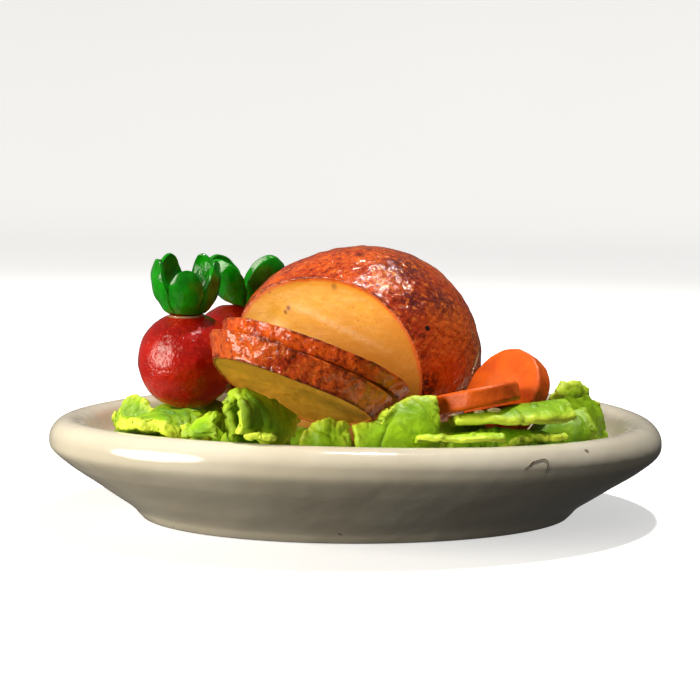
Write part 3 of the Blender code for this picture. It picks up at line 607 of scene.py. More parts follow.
def makeSlice(name, spec, material):
    top, up, seed = np.array(spec["top"]), unit(spec["up"]), spec["seed"]
    right, away = axesAbout(up)
    wide, narrow, thick = spec["wide"], spec["narrow"], spec["thickness"]
    turns = turnsRound(sliceShape["segments"])
    square = sliceShape["squareness"]
    corner = (np.abs(np.cos(turns)) ** square + np.abs(np.sin(turns)) ** square) ** (-1 / square)
    edge, bend = sliceShape["edge"], sliceShape["edgeBend"]
    shares = np.linspace(0.03, 0.96, sliceShape["faceRings"])
    wall = [(wide - edge, 0), (wide - bend, bend), (wide, edge), ((wide + narrow) / 2, thick / 2),
            (narrow, thick - edge), (narrow - bend, thick - bend), (narrow - edge, thick)]
    rows = [(wide * share, 0.0, -wide * (1 - share)) for share in shares]
    rows += [(reach, depth, min(depth, thick - depth)) for reach, depth in smoothLine(wall, 4)]
    rows += [(narrow * share, thick, -narrow * (1 - share)) for share in shares[::-1]]
    rings, values = [], []
    for reach, depth, fromCut in rows:
        x, y = reach * corner * np.cos(turns), reach * corner * np.sin(turns)
        sag = spec["droop"] * np.maximum(0, y / wide) ** 2
        y = np.where(y > 0, y * sliceShape["farHalf"], y)
        rings.append(top + np.outer(x, right) + np.outer(y, away) - np.outer(depth + sag, up))
        values.append(np.full(len(turns), fromCut))
    rings, values = np.array(rings), np.array(values)
    middle = top - up * thick / 2
    outward = unitRows(rings - middle - ((rings - middle) @ up)[..., None] * up)
    onWall = np.clip(values / 0.2 + 0.5, 0, 1)
    rings = rings - outward * (onWall * dents(rings, seed, sliceShape["wallDents"]))[..., None]
    inward = np.sign((middle - rings) @ up)[..., None] * up
    rings = rings + inward * ((1 - onWall) * dents(rings, seed + 2, sliceShape["faceDents"], 1))[..., None]
    placeRound(name + ".cut", rings, material, "gammon", name, skin=np.append(values.ravel(), (-wide, -narrow)))


gammon = makeClay("roastClay", gammonLook, 0.6, 0.06, 0.5, (1.0, 0.4, 0.12))
makeJoint(gammon)
for name, spec in slices.items():
    makeSlice(name, spec, gammon)
print("gammon carved")


# Tomatoes and the leafy crowns that stand on them

tomatoes = {
    "tomato_1": dict(centre=(-9.8, 3.5, 8.4), radius=2.93, seed=31),
    "tomato_2": dict(centre=(-6.8, 8.8, 8.45), radius=2.9, seed=37),
}
tomatoShape = dict(
    pole=5.0, dimple=0.97, dimpleSpread=12.0, segments=140, rings=90, dents=((0.09, 2.2), (0.035, 0.7)),
)
crowns = {  # lean moves the crown's foot off the tomato's top, and heights has a share for each petal
    "crown_1": dict(
        tomato="tomato_1", lean=(-0.05, -0.2), width=2.0, height=3.2, notch=0.86, turn=270.0, spread=0.0,
        heights=(0.74, 0.9, 1.0, 1.0, 0.92), seed=41,
    ),
    "crown_2": dict(
        tomato="tomato_2", lean=(0.55, 0.0), width=2.0, height=2.85, notch=0.72, turn=45.0, spread=0.75,
        heights=(1.0, 1.0, 0.95, 1.0), seed=43,
    ),
}
crownShape = dict(seat=1.05, lift=0.07, thickness=0.5, floor=0.4, belly=0.82, fullness=0.7, roundness=0.5,
                  taper=0.5, bottom=0.12, petalBulge=0.12, lean=0.10, leanSize=0.7, stepsAcross=44)
tomatoTones = tones(
    ripe=(184, 20, 4), deep=(150, 12, 3), speck=(90, 14, 10), pale=(214, 58, 20),
    crown=(18, 144, 6), crownDeep=(6, 108, 2),
)


def tomatoLook(here):
    height = cloud(here, 2.2, 4.0, 0.6) * 0.08 + cloud(here, 4.2, 3.0, 0.5) * 0.05
    colour = coat(
        blend(patches(here, 0.5, 0.35, 0.68, 4.0, 0.6), tomatoTones["ripe"], tomatoTones["deep"]),
        (dots(here, 1.6, 0.06, 0.12) * patches(here, 1.1, 0.5, 0.6, 2.0) * 0.6, tomatoTones["speck"]),
        (patches(here, 5.0, 0.58, 0.7) * 0.4, tomatoTones["pale"]),
    )
    return {"Base Color": colour, "Roughness": 0.08 + cloud(here, 1.8, 4.0, 0.65) * 0.16, "Height": height}


def crownLook(here):
    blotch = cloud(here, 0.9, 3.0)
    colour = blend(between(blotch, 0.35, 0.7), tomatoTones["crown"], tomatoTones["crownDeep"])
    height = cloud(here, 2.6, 4.0, 0.6) * 0.04 + cloud(here, 5.0, 2.0) * 0.010
    return {"Base Color": colour, "Roughness": 0.06 + blotch * 0.16, "Height": height}


def makeTomato(name, spec, material):
    shape, radius = tomatoShape, spec["radius"]
    turns = turnsRound(shape["segments"])
    rings = []
    for angle in np.radians(np.linspace(shape["pole"], 180 - shape["pole"], shape["rings"])):
        fromPole = math.degrees(min(angle, math.pi - angle))
        dimple = 1 - (1 - shape["dimple"]) * math.exp(-(fromPole / shape["dimpleSpread"]) ** 2)
        ring = np.column_stack([np.cos(turns) * math.sin(angle), np.sin(turns) * math.sin(angle),
                                np.full(len(turns), math.cos(angle) * dimple)])
        rings.append(ring * radius)
    rings = np.array(rings)
    rings = np.array(spec["centre"]) + rings * (1 - dents(rings, spec["seed"], shape["dents"]) / radius)[..., None]
    placeRound(name + ".ball", rings, material, "tomato", name)


def makeCrown(name, spec, material):  # a cup that fits the tomato's top, cut down into petals
    ball, shape, lean = tomatoes[spec["tomato"]], crownShape, np.array(spec["lean"])
    centre, radius = np.array(ball["centre"]), ball["radius"] + shape["lift"]
    petals, height, width = len(spec["heights"]), spec["height"], spec["width"]
    angles = turnsRound(petals * shape["stepsAcross"])
    turned = angles + math.radians(spec["turn"])
    facing = np.column_stack([np.cos(turned), np.sin(turned)])
    lobe = np.abs(np.cos(petals * angles / 2)) ** shape["roundness"]
    low, tall = height * (1 - spec["notch"]), height * np.array(spec["heights"])
    rim = low + (tall[np.round(angles * petals / math.tau).astype(int) % petals] - low) * lobe

    def onTomato(reach):
        flat = lean + facing * reach
        return np.column_stack([flat, np.sqrt(radius ** 2 - (flat ** 2).sum(1))])

    seated = onTomato(shape["seat"])[:, 2]

    def ringAt(share, inner):
        floor = shape["floor"] if inner else 0.0
        rise = floor + (rim - floor) * share
        level = rise / height
        belly = np.sin(math.pi * shape["belly"] * level) ** shape["fullness"]
        reach = shape["seat"] + (width - shape["seat"]) * (belly + spec["spread"] * level)
        reach = reach + shape["petalBulge"] * (lobe - 0.6) * math.sin(math.pi * share) ** 0.5
        if inner:
            reach = np.maximum(shape["bottom"], reach - shape["thickness"] * (1 - shape["taper"] * share ** 3))
        return np.column_stack([lean + facing * reach[:, None], radius * share + seated * (1 - share) + rise])

    outside = np.concatenate([np.linspace(0, 0.9, 16), [0.94, 0.97, 0.99, 1.0]])
    inside = np.concatenate([[0.985, 0.96, 0.92], np.linspace(0.85, 0.0, 14)])
    rings = [onTomato(shape["seat"] * share) for share in (0.1, 0.5, 0.8)]
    rings += [ringAt(share, False) for share in outside] + [ringAt(share, True) for share in inside]
    rings = centre + np.array(rings)
    bent = shape["lean"] * unevenness(rings[3:], shape["leanSize"], spec["seed"])
    rings[3:] += bent[..., None] * unit((1, 0.4, 0.2))
    placeRound(name + ".petals", rings, material, "crown", name)


tomatoRed = makeClay("tomatoClay", tomatoLook, 0.42, 0.05, 0.5, (1.0, 0.2, 0.1))
crownGreen = makeMaterial("crownClay", crownLook, {"Specular IOR Level": 0.45})
for name, spec in tomatoes.items():
    makeTomato(name, spec, tomatoRed)
for name, spec in crowns.items():
    makeCrown(name, spec, crownGreen)
print("tomatoes and crowns made")


# Carrot slices

carrots = {
    "carrot_1": dict(centre=(5.28, -7.35, 7.74), axis=(-0.19, 0.18, 0.965), radius=2.4, thickness=1.04, seed=51),
    "carrot_2": dict(centre=(7.5, -4.6, 7.55), axis=(-0.735, -0.47, 0.49), radius=2.68, thickness=1.1, seed=53),
}
carrotShape = dict(edge=0.2, segments=180, dents=((0.08, 1.6), (0.035, 0.5)))
carrotTones = tones(orange=(226, 96, 10), deep=(206, 80, 6), core=(228, 112, 44), speck=(120, 50, 16))


def carrotLook(here):
    rim = attribute(here, "rim")  # share of the way out from the slice's middle
    streak = cloud(here, 1.1, 4.0, 0.6)
    core = 1 - between(rim + (cloud(here, 1.2, 3.0) - 0.5) * 0.5, 0.30, 0.62)
    colour = coat(
        blend(between(streak, 0.35, 0.7), carrotTones["orange"], carrotTones["deep"]),
        (core * 0.5, carrotTones["core"]),
        (dots(here, 1.5, 0.05, 0.10) * patches(here, 1.3, 0.52, 0.6, 2.0) * 0.6, carrotTones["speck"]),
    )
    height = cloud(here, 1.6, 4.0, 0.6) * 0.06 + cloud(here, 7.0, 3.0) * 0.014
    return {"Base Color": colour, "Roughness": 0.34 + streak * 0.2, "Height": height}


def makeCarrot(name, spec, material):
    centre, axis = np.array(spec["centre"]), unit(spec["axis"])
    right, away = axesAbout(axis)
    radius, half, soft = spec["radius"], spec["thickness"] / 2, carrotShape["edge"]
    turns = turnsRound(carrotShape["segments"])
    rows = [(share * (radius - soft), half) for share in np.linspace(0.03, 0.97, 20)]
    rows += [(radius - soft + soft * math.sin(a), half - soft + soft * math.cos(a)) for a in np.linspace(0, 1.57, 7)]
    rows += [(radius, rise) for rise in np.linspace(half - soft, 0, 5)[1:]]
    rows += [(reach, -rise) for reach, rise in reversed(rows[:-1])]
    edge = np.outer(np.cos(turns), right) + np.outer(np.sin(turns), away)
    rings = np.array([centre + axis * rise + edge * reach for reach, rise in rows])
    rings = rings + unitRows(centre - rings) * dents(rings, spec["seed"], carrotShape["dents"])[..., None]
    rims = np.repeat([reach / radius for reach, _ in rows], len(turns))
    placeRound(name + ".disc", rings, material, "carrot", name, rim=np.append(rims, (0, 0)))


carrotOrange = makeClay("carrotClay", carrotLook, 0.35, 0.08, 0.5, (1.0, 0.35, 0.1))
for name, spec in carrots.items():
    makeCarrot(name, spec, carrotOrange)
print("carrots sliced")


# What a soft leaf is pressed clear of

class Ball:
    def __init__(self, centre, radius):
        self.centre, self.radius = np.asarray(centre, float), radius

    def clear(self, points, margin):
        away = points - self.centre
        distance = np.linalg.norm(away, axis=-1, keepdims=True)
        needed = self.radius + margin
        return np.where(distance < needed, self.centre + away / distance * needed, points)


class Disc:  # leaves go below a slice, whose far edge may sag, or beyond its edge, and never above it
    def __init__(self, centre, axis, radius, thickness, droop=0.0):
        self.centre, self.axis, self.far = np.asarray(centre, float), unit(axis), axesAbout(axis)[1]
        self.radius, self.half, self.droop = radius, thickness / 2, droop

    def clear(self, points, margin):
        away = points - self.centre
        height = away @ self.axis
        across = away - height[..., None] * self.axis
        distance = np.linalg.norm(across, axis=-1)
        height = height + self.droop * np.maximum(0, across @ self.far / self.radius) ** 2
        below = self.half + margin + height
        beyond = self.radius + margin - distance
        inside = (below > 0) & (height < self.half + margin) & (beyond > 0)
        down = points - below[..., None] * self.axis
        outward = points + across / np.maximum(distance, 1e-6)[..., None] * beyond[..., None]
        moved = np.where((below < beyond)[..., None], down, outward)
        return np.where(inside[..., None], moved, points)


class Dish:  # the platter's upper side
    def __init__(self):
        outside, inside = plateWalls()
        self.insets, self.heights = zip(*([outside[-1]] + inside))

    def insetOf(self, points):
        low, high = np.zeros(points.shape[:-1]), np.full(points.shape[:-1], plate["depth"] / 2 - 0.5)
        for _ in range(22):
            inset = (low + high) / 2
            reach = (points[..., 0] / (plate["length"] / 2 - inset)) ** 2
            reach += (points[..., 1] / (plate["depth"] / 2 - inset)) ** 2
            low, high = np.where(reach < 1, inset, low), np.where(reach < 1, high, inset)
        return low

    def heightAt(self, points, margin):
        inset, bridge = self.insetOf(points), leafShape["lipBridge"]
        long, wide = plate["length"] / 2 - inset, plate["depth"] / 2 - inset
        turn = np.arctan2(points[..., 1] / wide, points[..., 0] / long)
        fade = np.maximum(0.0, 1 - inset / plate["waveInset"])
        wave = plate["wave"] * fade * np.cos(2 * turn + math.radians(plate["waveTurn"]))
        lower = np.interp(inset + bridge, self.insets, self.heights)
        upper = np.interp(inset - bridge, self.insets, self.heights)
        margin = margin * np.hypot(1, (upper - lower) / (2 * bridge))
        return np.interp(inset, self.insets, self.heights) + wave + margin

    def clear(self, points, margin):
        moved = points.copy()
        moved[..., 2] = np.maximum(points[..., 2], self.heightAt(points, margin))
        return moved


class Gammon:  # leaves go round the joint, or in front of its cut face
    def clear(self, points, margin):
        axis, radius, offset = unit(joint["cutDirection"]), joint["radius"], joint["cutOffset"]
        right, upward = axesAbout(axis)
        away = points - np.array(joint["centre"])
        along = away @ axis
        across = away - along[..., None] * axis
        distance = np.maximum(np.linalg.norm(across, axis=-1), 1e-6)
        turn = np.arctan2(across @ upward, across @ right)
        beyond = np.sqrt(np.maximum(0, (radius + margin) ** 2 - along * along)) * shoulder(along, turn) - distance
        before = offset + margin - along
        forward = points + axis * before[..., None]
        outward = points + across / distance[..., None] * beyond[..., None]
        moved = np.where((before < beyond)[..., None], forward, outward)
        return np.where(((beyond > 0) & (before > 0))[..., None], moved, points)


# Lettuce: each leaf is a thick sheet curled round a line from start to end. out and up are the curl's
# radii at the line's start, middle and end. The arc runs from the leaf's root to its free edge, in
# degrees: 0 points away from the platter's middle, 90 up. The free edge waves in and out by frill and
# turns outwards by flare, ends says how much of the arc is left at the line's start and end, and slant
# moves the free edge's start back along the line. crumbly goes from 0 to 1.
leaves = {
    "lettuce_1": dict(
        start=(-13.6, -0.4, 4.3), end=(-11.4, -1.2, 4.3), out=(0.7, 0.9, 0.7), up=(1.7, 2.6, 1.8),
        arc=(-20, 80), ends=(0.7, 0.7), frill=0.3, waves=3.5, flare=0.2, thickness=0.5, steps=(9, 6),
    ),
    "lettuce_2": dict(
        start=(-13.4, -4.8, 4.2), end=(-8.6, -4.9, 4.2), out=(1.2, 2.4, 1.5), up=(1.3, 2.5, 1.8),
        arc=(200, -10), frill=0.25, waves=2.5, flare=0.5, thickness=0.7, steps=(12, 8),
    ),
    "lettuce_3": dict(
        start=(-9.9, -8.3, 5.6), end=(-8.2, -8.6, 5.8), out=(0.8, 0.9, 0.9), up=(0.8, 1.1, 1.4), arc=(0, 115),
        ends=(0.8, 1.0), frill=0.1, waves=2.0, thickness=0.35, steps=(8, 6),
    ),
    "lettuce_4": dict(
        start=(-7.5, -9.6, 7.15), end=(-4.2, -7.9, 5.6), out=(1.15, 1.3, 0.8), up=(1.5, 1.75, 1.1),
        arc=(265, -50), ends=(1.0, 0.6), frill=0.1, waves=3.0, flare=0.2, slant=0.3, thickness=0.55,
        steps=(10, 12),
    ),
    "lettuce_5": dict(
        start=(-7.0, -10.95, 5.8), end=(-5.5, -11.05, 5.8), out=(0.2, 0.25, 0.2), up=(0.2, 0.3, 0.2),
        arc=(170, 0), ends=(0.5, 0.8), frill=0.05, waves=2.0, flare=0.1, thickness=0.3, steps=(6, 5),
    ),
    "lettuce_6": dict(
        start=(-4.3, -8.7, 5.2), end=(-1.8, -8.5, 5.3), out=(1.4, 1.7, 1.6), up=(1.1, 1.8, 1.8), arc=(-60, 62),
        ends=(0.9, 0.9), frill=0.25, waves=2.5, thickness=0.5, steps=(10, 6),
    ),
    "lettuce_7": dict(
        start=(-1.5, -8.6, 5.4), end=(2.85, -8.1, 5.9), out=(1.5, 1.8, 1.5), up=(1.5, 2.3, 2.4), arc=(-15, 70),
        ends=(0.8, 0.9), frill=0.45, waves=1.7, thickness=0.55, steps=(16, 8),
    ),
    "lettuce_8": dict(
        start=(1.6, -11.0, 5.7), end=(6.2, -10.7, 5.7), out=(0.4, 0.5, 0.4), up=(0.5, 0.6, 0.5), arc=(150, 20),
        ends=(0.6, 0.8), frill=0.1, waves=2.0, thickness=0.3, steps=(9, 5),
    ),
    "lettuce_9": dict(
        start=(3.55, -6.8, 6.6), end=(10.2, -6.1, 6.6), out=(2.6, 3.4, 2.6), up=(0.8, 1.0, 0.9), arc=(72, 8),
        ends=(0.85, 0.9), frill=0.12, waves=1.5, flare=0.2, thickness=0.55, steps=(13, 6),
    ),
    "lettuce_10": dict(
        start=(3.2, -7.0, 4.3), end=(11.9, -5.0, 4.6), out=(1.2, 1.4, 1.6), up=(2.4, 2.2, 2.2), arc=(88, -50),
        ends=(0.9, 1.0), frill=0.25, waves=2.5, thickness=0.55, steps=(13, 6),
    ),
    "lettuce_11": dict(
        start=(9.8, -3.1, 4.3), end=(13.7, 0.3, 4.3), out=(1.0, 1.4, 1.0), up=(2.2, 3.0, 1.9), arc=(-20, 85),
        ends=(0.9, 0.7), frill=0.35, waves=3.5, flare=0.3, thickness=0.6, steps=(12, 8),
    ),
    "lettuce_12": dict(
        start=(-12.2, 4.4, 3.2), end=(-7.2, 5.0, 3.2), out=(1.2, 2.1, 1.2), up=(1.6, 2.8, 1.7), arc=(200, -15),
        ends=(0.7, 0.7), frill=0.3, waves=3.0, flare=0.4, thickness=0.5, steps=(9, 6),
    ),
    "lettuce_13": dict(
        start=(-7.4, 7.6, 3.9), end=(-3.6, 8.6, 3.9), out=(0.8, 0.9, 0.8), up=(1.2, 1.5, 1.4), arc=(200, -10),
        ends=(0.7, 0.7), frill=0.35, waves=3.0, flare=0.4, thickness=0.35, steps=(11, 6),
    ),
    "lettuce_14": dict(
        start=(-3.0, 9.4, 3.9), end=(4.8, 9.4, 3.9), out=(0.9, 2.4, 1.1), up=(1.4, 2.9, 1.6), arc=(200, -10),
        ends=(0.7, 0.7), frill=0.35, waves=3.5, flare=0.4, thickness=0.6, steps=(13, 6),
    ),
    "lettuce_15": dict(
        start=(5.4, 8.0, 3.8), end=(10.4, 5.2, 3.8), out=(1.0, 2.8, 1.2), up=(1.5, 3.1, 1.7), arc=(205, -10),
        ends=(0.7, 0.7), frill=0.35, waves=3.0, flare=0.4, thickness=0.6, steps=(11, 6),
    ),
    "lettuce_16": dict(
        start=(-7.4, -0.6, 3.0), end=(-0.8, -5.0, 3.0), out=(1.2, 2.6, 1.2), up=(2.8, 4.2, 2.6), arc=(200, -20),
        frill=0.2, waves=2.0, thickness=0.6, steps=(10, 6),
    ),
    "lettuce_17": dict(
        start=(-10.4, -1.2, 3.0), end=(-8.0, 0.6, 3.0), out=(0.8, 1.5, 0.8), up=(1.2, 2.3, 1.2), arc=(200, -20),
        frill=0.2, waves=2.0, flare=0.2, thickness=0.6, steps=(8, 6),
    ),
    "lettuce_18": dict(
        start=(3.4, -9.0, 4.2), end=(9.8, -8.5, 4.3), out=(0.7, 0.9, 0.8), up=(1.8, 2.0, 1.6), arc=(100, -20),
        frill=0.1, waves=3.0, flare=0.2, thickness=0.4, steps=(9, 5),
    ),
}
leafUnlessGiven = dict(ends=(0.8, 0.8), flare=0.0, slant=0.0)
leafShape = dict(
    frillSinks=0.6, lump=0.24, lumpSize=1.3, settlingRounds=14, easingRounds=10, ease=0.45, clearance=0.13,
    lipBridge=0.2, along=110, around=72, pressingRounds=3,
    ruffle=0.30, ruffleSize=0.9, ragged=0.30, raggedSize=0.5, rimWidth=0.45, bead=0.36,
    lumps=0.16, rimLumpSize=0.45, fineLumps=0.6, fineLumpSize=0.22,
    pleatGap=1.5, pleatDepth=0.16, pleatWidth=0.16, pleatWander=1.5, wanderSize=2.0, pleatPatchSize=1.2,
    crumbly=(1.0, 0.55, 0.8, 0.5, 0.6, 0.6, 0.35, 0.15, 0.1, 0.25, 0.8, 0.6, 0.6, 0.6, 0.6, 0.4, 0.4, 0.3),
)
crumbs = dict(density=4.0, size=0.07, seed=7)  # crumbs to the square millimetre of free edge


def alongThree(values, share):  # a smooth run through the values at the start, middle and end
    start, middle, end = values
    return start * (1 - share) * (1 - 2 * share) + end * share * (2 * share - 1) + middle * 4 * share * (1 - share)


def leafSheet(spec, seed):  # the middle of a leaf's thickness, along its line and round its curl
    start, end = np.array(spec["start"]), np.array(spec["end"])
    line, upward = end - start, np.array((0.0, 0.0, 1.0))
    outward = unit((line[1], -line[0], 0.0))
    outward *= 1 if outward @ (start + end) > 0 else -1
    share = np.linspace(0, 1, spec["steps"][0] + 1)[:, None]
    curl = np.linspace(0, 1, spec["steps"][1] + 1)[None, :]
    kept = alongThree((spec["ends"][0], 1.0, spec["ends"][1]), share)
    first, last = spec["arc"]
    angle = np.radians(first + (last - first) * curl * kept)[..., None]
    ripple = np.sin(math.tau * (spec["waves"] * share + 0.37 * seed))
    loose = np.maximum(0.0, 2 * curl - 1) ** 2  # from nothing at the leaf's middle to 1 at its free edge
    frill = (spec["frill"] * ripple * loose)[..., None]
    loose = (loose + 0 * share)[..., None]
    share = share[..., None]
    sheet = start + line * share - unit(line) * spec["slant"] * loose * (1 - share)
    sheet = sheet + outward * np.cos(angle) * alongThree(spec["out"], share)
    sheet = sheet + upward * np.sin(angle) * alongThree(spec["up"], share)
    radial = outward * np.cos(angle) + upward * np.sin(angle)
    lump = leafShape["lump"] * unevenness(sheet, leafShape["lumpSize"], seed)[..., None] + spec["flare"] * loose
    return sheet + radial * (frill + lump) - upward * frill * leafShape["frillSinks"]


def sheetNormals(sheet):
    return unitRows(np.cross(np.gradient(sheet, axis=0), np.gradient(sheet, axis=1)))


def ease(sheet):  # points move towards the middle of their neighbours, so that a pressed leaf doesn't fold
    along, around = sheet.copy(), sheet.copy()
    along[1:-1] = (sheet[2:] + sheet[:-2]) / 2
    around[:, 1:-1] = (sheet[:, 2:] + sheet[:, :-2]) / 2
    middle = (along + around) / 2
    middle[0], middle[-1] = around[0], around[-1]  # an edge evens out along itself alone
    middle[:, 0], middle[:, -1] = along[:, 0], along[:, -1]
    return sheet + (middle - sheet) * leafShape["ease"]


def settle(sheet, solids, margin, rounds, easingRounds):
    for number in range(rounds):
        before = sheet
        for solid in solids:
            sheet = solid.clear(sheet, margin)
        if number < easingRounds and np.linalg.norm(sheet - before, axis=-1).max() > gap:
            sheet = ease(sheet)
    return sheet


def lengths(sheet, axis):  # how far each point is along the sheet from its first edge
    steps = np.linalg.norm(np.diff(sheet, axis=axis), axis=-1)
    return np.concatenate([np.zeros_like(steps.take([0], axis)), steps.cumsum(axis)], axis)


def makeLeaf(name, spec, solids, material):
    spec = {**leafUnlessGiven, **spec}
    shape, seed, thick = leafShape, int(name.split("_")[1]), spec["thickness"]
    margin = thick / 2 + shape["clearance"]
    sheet = settle(leafSheet(spec, seed), solids, margin, shape["settlingRounds"], shape["easingRounds"])
    along, around = (round(shape[key] / count) for key, count in zip(("along", "around"), spec["steps"]))
    sheet = smoothLine(smoothLine(sheet, along).swapaxes(0, 1), around).swapaxes(0, 1)
    rows, columns = sheet.shape[:2]
    loose = np.maximum(0, np.linspace(-1, 1, columns)[None, :]) ** 2 + np.zeros((rows, 1))
    fromStart, fromRoot = lengths(sheet, 0), lengths(sheet, 1)
    fromSide = np.minimum(fromStart, fromStart[-1:] - fromStart)
    fromTip = fromRoot[:, -1:] - fromRoot
    fromEdge = np.minimum(fromSide, fromTip)
    rim = np.exp(-(fromEdge / shape["rimWidth"]) ** 2)
    normals = sheetNormals(sheet)
    tipward, sideward = (unitRows(np.gradient(sheet, axis=axis)) for axis in (1, 0))
    crumbly = shape["crumbly"][seed - 1]
    wander = shape["pleatWander"] * unevenness(sheet, shape["wanderSize"], seed + 30)
    wobble = fromStart / shape["pleatGap"] + wander
    pleat = np.exp(-((wobble - np.round(wobble)) * shape["pleatGap"] / shape["pleatWidth"]) ** 2)
    pleat = pleat * np.clip(unevenness(sheet, shape["pleatPatchSize"], seed + 35) * 4 + 0.6, 0, 1)
    ruffle = shape["ruffle"] * unevenness(sheet * (1, 1, 0.7), shape["ruffleSize"], seed + 20)
    ruffle, pleat = ruffle * (0.15 + loose ** 0.7) * (0.3 + crumbly), pleat * (0.4 + 0.6 * crumbly)
    torn = [crumbly * unevenness(sheet, shape["raggedSize"], seed + shift) for shift in (80, 85, 90)]
    ragged = shape["ragged"] * rim
    out = 1.6 * ruffle - shape["pleatDepth"] * pleat + shape["ragged"] * torn[0] * rim
    aside = tipward * torn[1][..., None] + sideward * torn[2][..., None]
    sheet = sheet + normals * out[..., None] + aside * ragged[..., None]
    sheet = settle(sheet, solids, margin, shape["pressingRounds"], 0)
    rounding = np.sqrt(np.clip(1 - (1 - np.minimum(fromEdge, fromRoot) / (thick / 2)).clip(0, 1) ** 2, 0, 1))
    half = thick / 2 * (0.1 + 0.9 * rounding) * (1 - 0.25 * loose + shape["bead"] * rim * crumbly)
    normals = sheetNormals(sheet)
    sides = []
    for side in (1, -1):
        face = sheet + normals * (side * half)[..., None]
        lumps = unevenness(face, shape["rimLumpSize"], seed + 60)
        lumps = lumps + shape["fineLumps"] * unevenness(face, shape["fineLumpSize"], seed + 65)
        lumps = shape["lumps"] * (lumps - 0.15) * (0.12 + rim * crumbly) * rounding
        sides.append(face + normals * (side * np.maximum(lumps, -half * 0.7))[..., None])
    points = np.concatenate([side.reshape(-1, 3) for side in sides])
    size, faces = rows * columns, []
    for i in range(rows - 1):
        for j in range(columns - 1):
            a = i * columns + j
            b, c, d = a + columns, a + columns + 1, a + 1
            faces += [(a, b, c, d), (size + a, size + d, size + c, size + b)]
    edge = [i * columns for i in range(rows)] + [(rows - 1) * columns + j for j in range(1, columns)]
    edge += [i * columns + columns - 1 for i in range(rows - 2, -1, -1)] + list(range(columns - 2, 0, -1))
    for here, there in zip(edge, edge[1:] + edge[:1]):
        faces.append((here, size + here, size + there, there))
    # pleat is kept so that the colour can paint shade into the pleats' creases.
    values = {"loose": loose, "rim": rim, "torn": rim * crumbly, "pleat": pleat}
    values = {key: np.concatenate([value.ravel()] * 2) for key, value in values.items()}
    mesh = makeMesh(name + "Mesh", points, faces, **values)
    place(name + ".leaf", mesh, material, "lettuce", name)
    return mesh


leafTones = tones(
    leaf=(158, 202, 22), deep=(112, 162, 8), vein=(88, 134, 6), edge=(190, 222, 36), rim=(222, 240, 72),
    # The darkest green on the next line is painted shade for the pleats' creases.
    fold=(60, 104, 4), speck=(84, 70, 14),
)


def leafLook(here):
    loose, rim = attribute(here, "loose"), attribute(here, "rim")  # 1 at a leaf's free edge and all round it
    fine = cloud(here, 1.7, 4.0, 0.6)
    colour = coat(
        blend(patches(here, 0.40, 0.34, 0.68, 4.0, 0.55), leafTones["leaf"], leafTones["deep"]),
        (between(fine, 0.50, 0.68) * 0.35, leafTones["vein"]),
        (between(loose, 0.30, 0.95) * 0.35, leafTones["edge"]),
        (rim * (0.30 + loose * 0.55), leafTones["rim"]),
        # painted shade: darker where the pleats crease the leaf
        (attribute(here, "pleat") * 0.6, leafTones["fold"]),
        (dots(here, 1.3, 0.05, 0.09) * patches(here, 0.9, 0.54, 0.62, 2.0) * 0.7, leafTones["speck"]),
    )
    height = fine * 0.06 + cloud(here, 5.0, 3.0, 0.6) * 0.02
    return {"Base Color": colour, "Roughness": 0.34 + fine * 0.24, "Height": height}


def crumbTree(tree, given):  # lumps strewn over the crumbly free edges
    torn = add(tree, "GeometryNodeInputNamedAttribute", {"data_type": "FLOAT"}, {"Name": "torn"}, "Attribute")
    density = given["Density"] * between(torn, 0.2, 0.9)
    strewn = add(tree, "GeometryNodeDistributePointsOnFaces", {},
                 {"Mesh": given["Geometry"], "Density": density, "Seed": given["Seed"]}, "Points")
    lump = add(tree, "GeometryNodeMeshIcoSphere", {}, {"Radius": given["Size"], "Subdivisions": 2}, "Mesh")
    size = add(tree, "FunctionNodeRandomValue", {"data_type": "FLOAT_VECTOR"},
               {0: (0.4, 0.4, 0.4), 1: (1.5, 1.5, 1.1), "Seed": given["Seed"]}, 0)
    turned = add(tree, "FunctionNodeRandomValue", {"data_type": "FLOAT_VECTOR"},
                 {0: (0.0, 0.0, 0.0), 1: (math.tau, math.tau, math.tau), "Seed": given["Seed"]}, 0)
    placed = add(tree, "GeometryNodeInstanceOnPoints", {},
                 {"Points": strewn, "Instance": lump, "Rotation": turned, "Scale": size})
    solid = add(tree, "GeometryNodeRealizeInstances", {}, {"Geometry": placed})
    smooth = add(tree, "GeometryNodeSetShadeSmooth", {}, {"Geometry": solid})
    return add(tree, "GeometryNodeSetMaterial", {}, {"Geometry": smooth, "Material": given["Material"]})


leafGreen = makeClay("lettuceClay", leafLook, 0.32, 0.12, 0.4, (0.5, 1.0, 0.1))
solids = [Gammon()] + [Ball(tomato["centre"], tomato["radius"]) for tomato in tomatoes.values()]
for spec in slices.values():
    middle = np.array(spec["top"]) - unit(spec["up"]) * spec["thickness"] / 2
    solids.append(Disc(middle, spec["up"], spec["wide"], spec["thickness"], spec["droop"]))
solids += [Disc(spec["centre"], spec["axis"], spec["radius"], spec["thickness"]) for spec in carrots.values()]
solids.append(Dish())
leafMeshes = [makeLeaf(name, spec, solids, leafGreen) for name, spec in leaves.items()]
print("lettuce curled")

joined = bmesh.new()
for mesh in leafMeshes:
    joined.from_mesh(mesh)
bed = bpy.data.meshes.new("leafBed")
joined.to_mesh(bed)
joined.free()
crumbMesh = grow("leafCrumbs", bed, "crumbs", crumbTree, {
    "Density": crumbs["density"] / mm ** 2, "Size": crumbs["size"] * mm, "Seed": crumbs["seed"],
    "Material": leafGreen})
place("leaf_crumbs", crumbMesh, leafGreen, "lettuce")
print("crumbs strewn:", len(crumbMesh.polygons), "faces")


# Small things left on the piece: clear glue, a torn flake of skin and a hair

